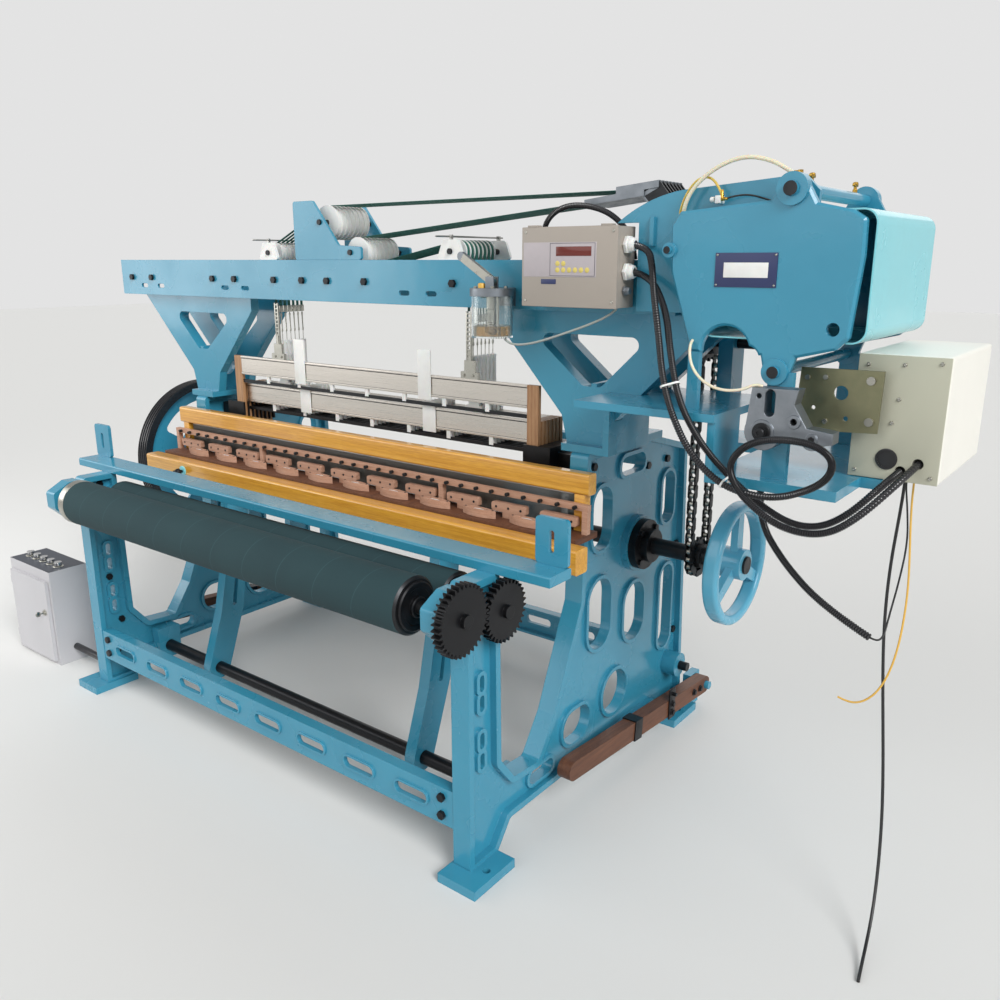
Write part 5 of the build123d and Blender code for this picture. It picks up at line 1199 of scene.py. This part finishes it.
shuttle_xs = [(i - (SHUTTLES - 1) / 2) * SHUTTLE_STEP for i in range(SHUTTLES)]
with piece("shuttle_bobbins", "white_plastic", "white_plastic", "shuttle_set") as bm:
    for x in shuttle_xs:
        turned(bm, BOBBIN, (x, SHUTTLE_Y, SHUTTLE_TOP - BOBBIN_SINK), RIGHT, 10)
with piece("shuttle_studs", "dark_steel", "steel", "shuttle_set") as bm:
    for x in shuttle_xs:
        for dx in (-STUD_OUT, STUD_OUT):
            turned(bm, STUD, (x + dx, SHUTTLE_Y, SHUTTLE_TOP), UP, 10)
with piece("batten_screws", "dark_steel", "steel", "sley") as bm:
    for i in range(SHUTTLES + 1):
        for dx in (-BATTEN_OUT, 0, BATTEN_OUT):
            turned(bm, BATTEN_SCREW, ((i - SHUTTLES / 2) * SHUTTLE_STEP + dx, *BATTEN_AT), FRONT, 10)
print("bobbins:", len(shuttle_xs))

# %% Roller hoop and caps, knob
CLOTH_AT = (-0.65767, 0.78806)
TAKE_UP_AT = (-0.490, 0.760)
ROLLER_X = 0.826
HOOP = [(78.2, 0), (79.0, 0.8), (79.0, 33), (78.2, 34)]
HOOP_IN = 0.007
CAPS_MM = (("cloth_caps", "cloth", CLOTH_AT, 66), ("take_up_caps", "take_up", TAKE_UP_AT, 60))
KNOB_AT = (-0.790, -0.250, 0.830)
KNOB_WASHER = [(20, 0), (20, 3), (17, 4.5), (9, 4.5)]
KNOB = [(6, 4), (6, 12), (12, 15), (13, 20), (13, 27), (10, 31), (4, 32)]
KNOB_BAR = ((-0.812, -0.280, 0.826), (-0.768, -0.272, 0.834))

with piece("clamp_hoop", "zinc", "steel", "cloth", 25) as bm:
    turned(bm, HOOP, (-ROLLER_X + HOOP_IN, *CLOTH_AT), RIGHT, 64)
for name, body, (y, z), r in CAPS_MM:
    with piece(name, "black_iron", "black_iron", body, 30) as bm:
        cap = [(r, 0), (r, 5), (r - 4, 8), (r - 16, 8), (r - 18, 6), (28, 6), (28, 14), (25, 16)]
        for side in (-1, 1):
            turned(bm, cap, (side * ROLLER_X, y, z), (side, 0, 0), 48)
with piece("knob_washer", "aqua_paint", "aqua_paint", "sley") as bm:
    turned(bm, KNOB_WASHER, KNOB_AT, FRONT, 28)
with piece("beam_knob", "black_iron", "black_iron", "sley") as bm:
    turned(bm, KNOB, KNOB_AT, FRONT, 20)
    eased_block(bm, *KNOB_BAR, 2.0)
print("hoop, caps and knob made")

# %% [markdown]
# ## Pulley rods and oil pump
#
# A thin keeper rod lies over each side pulley so that a slack belt can't jump off. The pump stands
# in a clear jar, so its barrel, spring and the oil show through. The oil is a separate solid that
# ends just inside the wall.

# %% Keeper rods
PULLEY_X = 0.434
KEEPER = [(2.0, 0), (2.8, 1), (2.8, 329), (2.0, 330)]
KEEPER_START = (-0.115, 1.6985)
SADDLE_YS = (-0.043, 0.193)
SADDLE_HALF = (0.006, 0.004)
SADDLE_Z = (1.684, 1.704)
SIDE_PLATES_FROM = 0.36

with piece("keeper_rods", "steel", "steel") as bm:
    half, deep = SADDLE_HALF
    for x in (-PULLEY_X, PULLEY_X):
        turned(bm, KEEPER, (x, *KEEPER_START), BACK, 10)
        for y in SADDLE_YS:
            eased_block(bm, (x - half, y - deep, SADDLE_Z[0]), (x + half, y + deep, SADDLE_Z[1]), 1.2)
paint("pulley_brackets", "blue_paint", ("white_plastic", lambda c, n: abs(c.x) > SIDE_PLATES_FROM))
print("keeper rods made")

# %% Oil pump
POT_AT = (0.655, -0.124)
POT_LOW = 1.413
HEAD_TOP = 1.552
BARREL = [(8, 10), (8, 14), (14, 16), (14, 78), (16, 80), (16, 116)]
DIP_TUBE = [(4, 8), (4, 116)]
DIP_AT = (POT_AT[0] + 0.03, POT_AT[1] - 0.012)
SPRING_R, SPRING_WIRE_R, SPRING_LOW = 0.018, 0.0011, 0.034
SPRING_POINTS, POINTS_PER_TURN, SPRING_RISE = 96, 12, 0.0004
OIL = [(40, 5.6), (53.5, 6), (54, 8), (54, 33), (53.2, 34), (30, 33.6)]
FILLER = [(11, 0), (11, 10), (9, 13), (4, 14)]
FILLER_AT = (0.622, -0.130)
HEAD_NUT = [(5.5, 0), (5.5, 5), (4.5, 6.5), (1.5, 6.5)]
HEAD_NUTS = ((0.035, -0.042), (-0.02, -0.05), (0.05, 0.0))

with piece("pump_barrel", "zinc", "steel") as bm:
    turned(bm, BARREL, (*POT_AT, POT_LOW), UP, 20)
    turned(bm, DIP_TUBE, (*DIP_AT, POT_LOW), UP, 12)
    turns = SPRING_POINTS / POINTS_PER_TURN
    ring = arc(POT_AT, SPRING_R, 0, 360 * (turns - 1 / POINTS_PER_TURN), SPRING_POINTS - 1)
    coil = [Vector((*spot, POT_LOW + SPRING_LOW + SPRING_RISE * i)) for i, spot in enumerate(ring)]
    bent_tube(bm, coil, [SPRING_WIRE_R] * len(coil), 6)
with piece("pump_oil", "oil", "glass", angle=30) as bm:
    turned(bm, OIL, (*POT_AT, POT_LOW), UP, 40)
with piece("filler_cap", "yellow_wire", "yellow_wire") as bm:
    turned(bm, FILLER, (*FILLER_AT, HEAD_TOP), UP, 16)
with piece("pump_nuts", "zinc", "steel") as bm:
    for dx, dy in HEAD_NUTS:
        turned(bm, HEAD_NUT, (POT_AT[0] + dx, POT_AT[1] + dy, HEAD_TOP), UP, 6)
print("spring turns:", turns)

# %% [markdown]
# ## Oil lines and small leads
#
# Soft tubes bring oil to the dobby's bearings and a corrugated lead arches behind the controller.
# They are free tubes, each swept along a spline, and the length of each is printed. Both ends of
# each one sit in the machine.

# %% Oil lines
OIL_ARC = [
    (1.236, -0.068, 1.688),
    (1.235, -0.098, 1.704),
    (1.238, -0.113, 1.752),
    (1.262, -0.112, 1.800),
    (1.318, -0.112, 1.842),
    (1.386, -0.112, 1.862),
    (1.448, -0.112, 1.850),
    (1.492, -0.112, 1.826),
    (1.513, -0.112, 1.812),
]
YELLOW_LINE = [
    (1.218, -0.080, 1.726),
    (1.219, -0.096, 1.733),
    (1.232, -0.099, 1.775),
    (1.258, -0.100, 1.812),
    (1.288, -0.100, 1.824),
    (1.315, -0.100, 1.810),
    (1.330, -0.100, 1.781),
]
DARK_LINE = [
    (1.340, -0.100, 1.770),
    (1.370, -0.101, 1.777),
    (1.405, -0.102, 1.776),
    (1.436, -0.098, 1.767),
    (1.452, -0.080, 1.760),
]
LOWER_LINE = [
    (1.300, -0.150, 1.440),
    (1.301, -0.170, 1.430),
    (1.315, -0.185, 1.382),
    (1.352, -0.192, 1.346),
    (1.400, -0.194, 1.330),
    (1.450, -0.190, 1.334),
    (1.482, -0.178, 1.352),
    (1.494, -0.172, 1.345),
]
POT_LINE = [
    (0.700, -0.124, 1.4125),
    (0.712, -0.128, 1.402),
    (0.755, -0.134, 1.396),
    (0.825, -0.136, 1.408),
    (0.905, -0.134, 1.434),
    (0.985, -0.126, 1.462),
    (1.045, -0.112, 1.490),
    (1.058, -0.105, 1.507),
]
plain_lead("dobby_oil_line", None, OIL_ARC, 0.0050, "clear_tube")
plain_lead("branch_oil_line", None, YELLOW_LINE, 0.0030, "yellow_tube")
plain_lead("bearing_oil_line", None, DARK_LINE, 0.0022, "black_pvc")
plain_lead("case_oil_line", None, LOWER_LINE, 0.0036, "clear_tube")
plain_lead("pump_oil_line", None, POT_LINE, 0.0032, "grey_tube")

# %% Lead over the controller
OVER_LEAD = [
    (0.768, -0.034, 1.6305),
    (0.766, -0.036, 1.690),
    (0.790, -0.042, 1.745),
    (0.850, -0.046, 1.774),
    (0.925, -0.047, 1.772),
    (0.995, -0.046, 1.750),
    (1.046, -0.042, 1.705),
    (1.062, -0.036, 1.660),
    (1.066, -0.034, 1.6305),
]
OVER_LEAD_R = 0.008
ribbed_conduit("sensor_conduit", None, OVER_LEAD, OVER_LEAD_R)

# %% Oil fittings
WALL_UNION = [(6, 12), (6, 17), (3.6, 19), (3.6, 24)]
WALL_SPOTS = ((1.236, -0.066, 1.700), (1.218, -0.066, 1.726), (1.452, -0.066, 1.760))
TAP = [(6, 0), (6, 8), (4, 9), (4, 16), (7, 18), (7, 24), (5, 26)]
TAP_SPOTS = ((1.520, -0.035, 1.797), (1.520, 0.290, 1.797))
TAP_BAR = ((-0.004, -0.014, 0.015), (0.004, 0.014, 0.022))
FITTINGS = [
    ([(7, 0), (7, 8), (4.5, 10), (4.5, 18), (6, 19), (6, 27)], (1.520, -0.112, 1.797), UP, 6),
    ([(5.5, 0), (5.5, 12), (4.4, 14), (4.4, 18)], (1.506, -0.112, 1.818), RIGHT, 10),
    ([(5, 0), (5, 10), (3.6, 12), (3.6, 20)], (1.331, -0.100, 1.771), UP, 8),
    ([(5, -8), (5, 3), (3.4, 5), (3.4, 12)], (1.334, -0.100, 1.770), RIGHT, 8),
]
FITTINGS += [(WALL_UNION, spot, FRONT, 8) for spot in WALL_SPOTS]
FITTINGS += [(TAP, spot, UP, 8) for spot in TAP_SPOTS]
BRANCH_BODY = ((1.316, -0.106, 1.760), (1.330, -0.080, 1.778))
BRANCH_NUT = [(6.5, 0), (6.5, 8), (4, 10)]
BRANCH_NUT_AT = (1.312, -0.100, 1.769)

with piece("oil_unions", "brass", "steel") as bm:
    for fitting in FITTINGS:
        turned(bm, *fitting)
    for spot in TAP_SPOTS:
        low, high = [Vector(spot) + Vector(corner) for corner in TAP_BAR]
        eased_block(bm, low, high, 1.5)
with piece("union_body", "white_plastic", "white_plastic") as bm:
    eased_block(bm, *BRANCH_BODY, 1.5)
    turned(bm, BRANCH_NUT, BRANCH_NUT_AT, (-1, 0, 0), 10)
print("fittings:", len(FITTINGS) + 1)

# %% [markdown]
# ## Cable ties, glands and plates
#
# White nylon ties bundle the conduits. A tie is a thin band that follows the outline of the bundle,
# so it is swept round two circles. The dobby's front has a riveted bare plate, and the controller's
# lid is held by four screws.

# %% Cable ties
TIE_GAP = 0.0012
TIE_STEPS = 14
TIE_SECTION = ((0.0, -0.0026), (0.0016, -0.0022), (0.0016, 0.0022), (0.0, 0.0026))
TIE_HEAD_HALF = Vector((0.004, 0.005, 0.004))
TIE_SPOTS = ((1.275, -0.222, 1.335), (1.440, -0.230, 1.115))


def nearest(points, spot):
    return min(points, key=lambda p: (p - Vector(spot)).length)


def tie(bm, spot_a, spot_b, ahead):
    across = spot_b - spot_a
    across = (across - ahead * across.dot(ahead)).normalized()
    other = ahead.cross(across)
    loop = []
    for spot, start in ((spot_b, -90), (spot_a, 90)):
        for a, b in arc((0, 0), CONDUIT_R + TIE_GAP, start, start + 180, TIE_STEPS):
            loop.append(spot + across * a + other * b)
    centre = (spot_a + spot_b) / 2
    rows = []
    for out, along in TIE_SECTION:
        rows.append([bm.verts.new(p + (p - centre).normalized() * out + ahead * along) for p in loop])
    join_rings(bm, rows + rows[:1])
    eased_block(bm, loop[0] - TIE_HEAD_HALF, loop[0] + TIE_HEAD_HALF)


with piece("cable_ties", "white_plastic", "white_plastic") as bm:
    for spot in TIE_SPOTS:
        on_a, on_b = nearest(line_a, spot), nearest(line_b, spot)
        step = line_a.index(on_a)
        tie(bm, on_a, on_b, (line_a[step + 2] - line_a[step - 2]).normalized())
print("cable ties:", len(TIE_SPOTS))

# %% Bare plate, lid fittings, small gland
PLATE_FACE = -0.1522
BARE_PLATE = ((1.348, PLATE_FACE, 1.568), (1.499, -0.1495, 1.646))
BARE_FIELD = ((1.370, -0.1530, 1.590), (1.478, -0.1515, 1.624))
RIVET = [(2.6, 0), (2.6, 0.6), (1.8, 1.5), (0.4, 1.8)]
RIVET_SPOTS = [(x, PLATE_FACE, z) for x in (1.353, 1.494) for z in (1.573, 1.641)]
LID_SCREW = [(4.2, -0.3), (4.2, 0.8), (3.2, 1.7), (0.6, 1.3)]
LID_SPOTS = [(x, LID_FACE, z) for x in (0.793, 1.067) for z in (1.524, 1.702)]
SMALL_GLAND = [(13, 0), (13, 6), (10.5, 7), (10.5, 14), (9, 17), (5, 17.5)]
SMALL_GLAND_AT = (1.080, -0.109, 1.552)
HINGE_XS, HINGE_HALF = (0.815, 1.045), 0.016
HINGE_Y, HINGE_Z = (LID_FACE, -0.128), (1.7145, 1.7195)

with piece("bare_plate", "blue_plate", "blue_paint") as bm:
    eased_block(bm, *BARE_PLATE)
with piece("bare_plate_field", "white_plastic", "white_plastic") as bm:
    eased_block(bm, *BARE_FIELD, 0.4)
with piece("plate_rivets", "zinc", "steel") as bm:
    for spot in RIVET_SPOTS:
        turned(bm, RIVET, spot, FRONT, 12)
with piece("lid_screws", "zinc", "steel") as bm:
    for spot in LID_SPOTS:
        turned(bm, LID_SCREW, spot, FRONT, 12)
with piece("small_gland", "cast_alloy", "cast_alloy") as bm:
    turned(bm, SMALL_GLAND, SMALL_GLAND_AT, RIGHT, 6)
with piece("lid_hinges", "warm_grey", "warm_grey") as bm:
    for x in HINGE_XS:
        low, high = zip((x - HINGE_HALF, x + HINGE_HALF), HINGE_Y, HINGE_Z)
        eased_block(bm, low, high, 1.0)
print("plates and glands made")

# %% [markdown]
# ## Side levers
#
# Each wooden lever carries an iron plate that a strap hooks on, and bolts hold its rear end
# together. They ride on the lever, so they swing with it.

# %% Lever irons
LEVER_OUT = 1.0292
IRON_T, IRON_SEAT = 0.005, 0.0048
IRON_Y, IRON_Z = (0.386, 0.428), (0.082, 0.192)
IRON_BOLTS = ((0.407, 0.104), (0.407, 0.136))
REAR_BOLTS = ((0.590, 0.104), (0.640, 0.099))
WASHER = [(13, 0), (13, 1.8), (12.4, 2.2)]
BOLT_HEAD = [(9.5, 2), (9.5, 8), (8.2, 9)]
STRAP_PIN = [(7, 0), (7, 14), (6, 15)]
STRAP_PIN_AT = (0.407, 0.174)

for side, name, body in ((1, "right", "pick_right"), (-1, "left", "pick_left")):
    with piece(name + "_lever_irons", "black_iron", "black_iron", body) as bm:
        out = (side, 0, 0)
        near, far = sorted((side * LEVER_OUT, side * (LEVER_OUT + IRON_T)))
        eased_block(bm, (near, IRON_Y[0], IRON_Z[0]), (far, IRON_Y[1], IRON_Z[1]), 1.2)
        for bolts, proud in ((IRON_BOLTS, IRON_SEAT), (REAR_BOLTS, 0)):
            for spot in bolts:
                turned(bm, WASHER, (side * (LEVER_OUT + proud), *spot), out, 24)
                turned(bm, BOLT_HEAD, (side * (LEVER_OUT + proud), *spot), out, 6)
        turned(bm, STRAP_PIN, (side * (LEVER_OUT + IRON_SEAT), *STRAP_PIN_AT), out, 16)
print("bolts on a lever:", len(IRON_BOLTS + REAR_BOLTS))

# %% [markdown]
# ## Control box
#
# The box on the floor has five push buttons in bright bezels and a key in its lock. The bezels
# belong to the box, while the key turns with the door.

# %% Bezels and key
BUTTONS, BUTTON_STEP = 5, 0.058
DESK_X = -1.410
BUTTON_XS = [DESK_X + (i - BUTTONS // 2) * BUTTON_STEP for i in range(BUTTONS)]
BEZEL_AT = (-0.545, 0.408)
BEZEL = [(15.7, 0), (20.5, 0), (21, 1.5), (19, 4.2), (17, 4.8), (15.7, 4.2)]
KEY_PARTS = (
    ([(12.5, 0), (13, 1), (12, 2.4), (9, 2.6)], -0.6245, FRONT, 28),
    ([(3, 0), (3, 13), (2, 14)], -0.631, FRONT, 10),
    ([(10, -1.2), (11, -0.6), (11, 0.6), (10, 1.2)], -0.653, RIGHT, 20),
)

with piece("button_bezels", "zinc", "steel") as bm:
    for x in BUTTON_XS:
        turned(bm, BEZEL, (x, *BEZEL_AT), UP, 32, True)
with piece("door_key", "zinc", "steel", "box_door") as bm:
    for outline, y, axis, sides in KEY_PARTS:
        turned(bm, outline, (LOCK_X, y, LOCK_Z), axis, sides)
print("bezels:", len(BUTTON_XS))

# %% [markdown]
# ## Floor and light
#
# A pale floor and one large soft light from the right stand for a studio. A weaker light fills the
# front, another the back, and a softbox at the left puts a sheen on the glossy castings. The world
# is brighter where the camera sees it, straight or through glass, than where it lights the loom.

# %% Floor and world
FLOOR_HALF = 30.0
AMBIENT, GLOSSY_LEVEL, SEEN_LEVEL = 0.36, 0.6, 0.85

corners = [(x * FLOOR_HALF, y * FLOOR_HALF, 0) for x, y in ((-1, -1), (1, -1), (1, 1), (-1, 1))]
floor_mesh = bpy.data.meshes.new("studio_floor")
floor_mesh.from_pydata(corners, [], [(0, 1, 2, 3)])
floor = bpy.data.objects.new("studio_floor", floor_mesh)
bpy.context.scene.collection.objects.link(floor)
floor_mesh.materials.append(start_material("pale_studio_floor", "DDDDDB", Roughness=0.9)[0])

world = bpy.data.worlds.new("studio")
bpy.context.scene.world = world
world.use_nodes = True
sky = world.node_tree
rays = add(sky, "LightPath").outputs
span = {1: 0.0, 2: 1.0}
level = add(sky, "MapRange", {"Value": rays["Is Glossy Ray"], **span, 3: AMBIENT, 4: GLOSSY_LEVEL})
seen = add(sky, "Math", {0: rays["Is Camera Ray"], 1: rays["Is Transmission Ray"]}, operation="MAXIMUM")
lit = {3: level.outputs["Result"], 4: SEEN_LEVEL}
shown = add(sky, "MapRange", {"Value": seen.outputs["Value"], **span, **lit})
ground = sky.nodes["Background"]
ground.inputs["Color"].default_value = linear("F4F4F4")
sky.links.new(shown.outputs["Result"], ground.inputs["Strength"])
print("floor and world set")

# %% Lights
SOFTBOX_AT = (-3.6, -2.4, 2.1)
SOFTBOX_AIM = (-0.3, 0.0, 1.4)


def hang(lamp, towards, at=(0, 0, 0)):
    holder = bpy.data.objects.new(lamp.name, lamp)
    holder.location = at
    holder.rotation_euler = Vector(towards).to_track_quat("-Z", "Y").to_euler()
    bpy.context.scene.collection.objects.link(holder)


def sun(name, towards, strength, spread):
    lamp = bpy.data.lights.new(name, "SUN")
    lamp.energy = strength
    lamp.angle = math.radians(spread)
    hang(lamp, towards)


sun("key_window", (-0.8, 0.36, -0.62), 2.7, 30)
sun("fill_front", (0.35, 0.85, -0.45), 0.7, 50)
sun("fill_back", (0.25, -0.75, -0.6), 0.5, 60)
soft = bpy.data.lights.new("softbox_left", "AREA")
soft.shape = "RECTANGLE"
soft.size, soft.size_y, soft.energy = 2.6, 2.0, 42.0
hang(soft, Vector(SOFTBOX_AIM) - Vector(SOFTBOX_AT), SOFTBOX_AT)
print("lights:", len(bpy.data.lights))
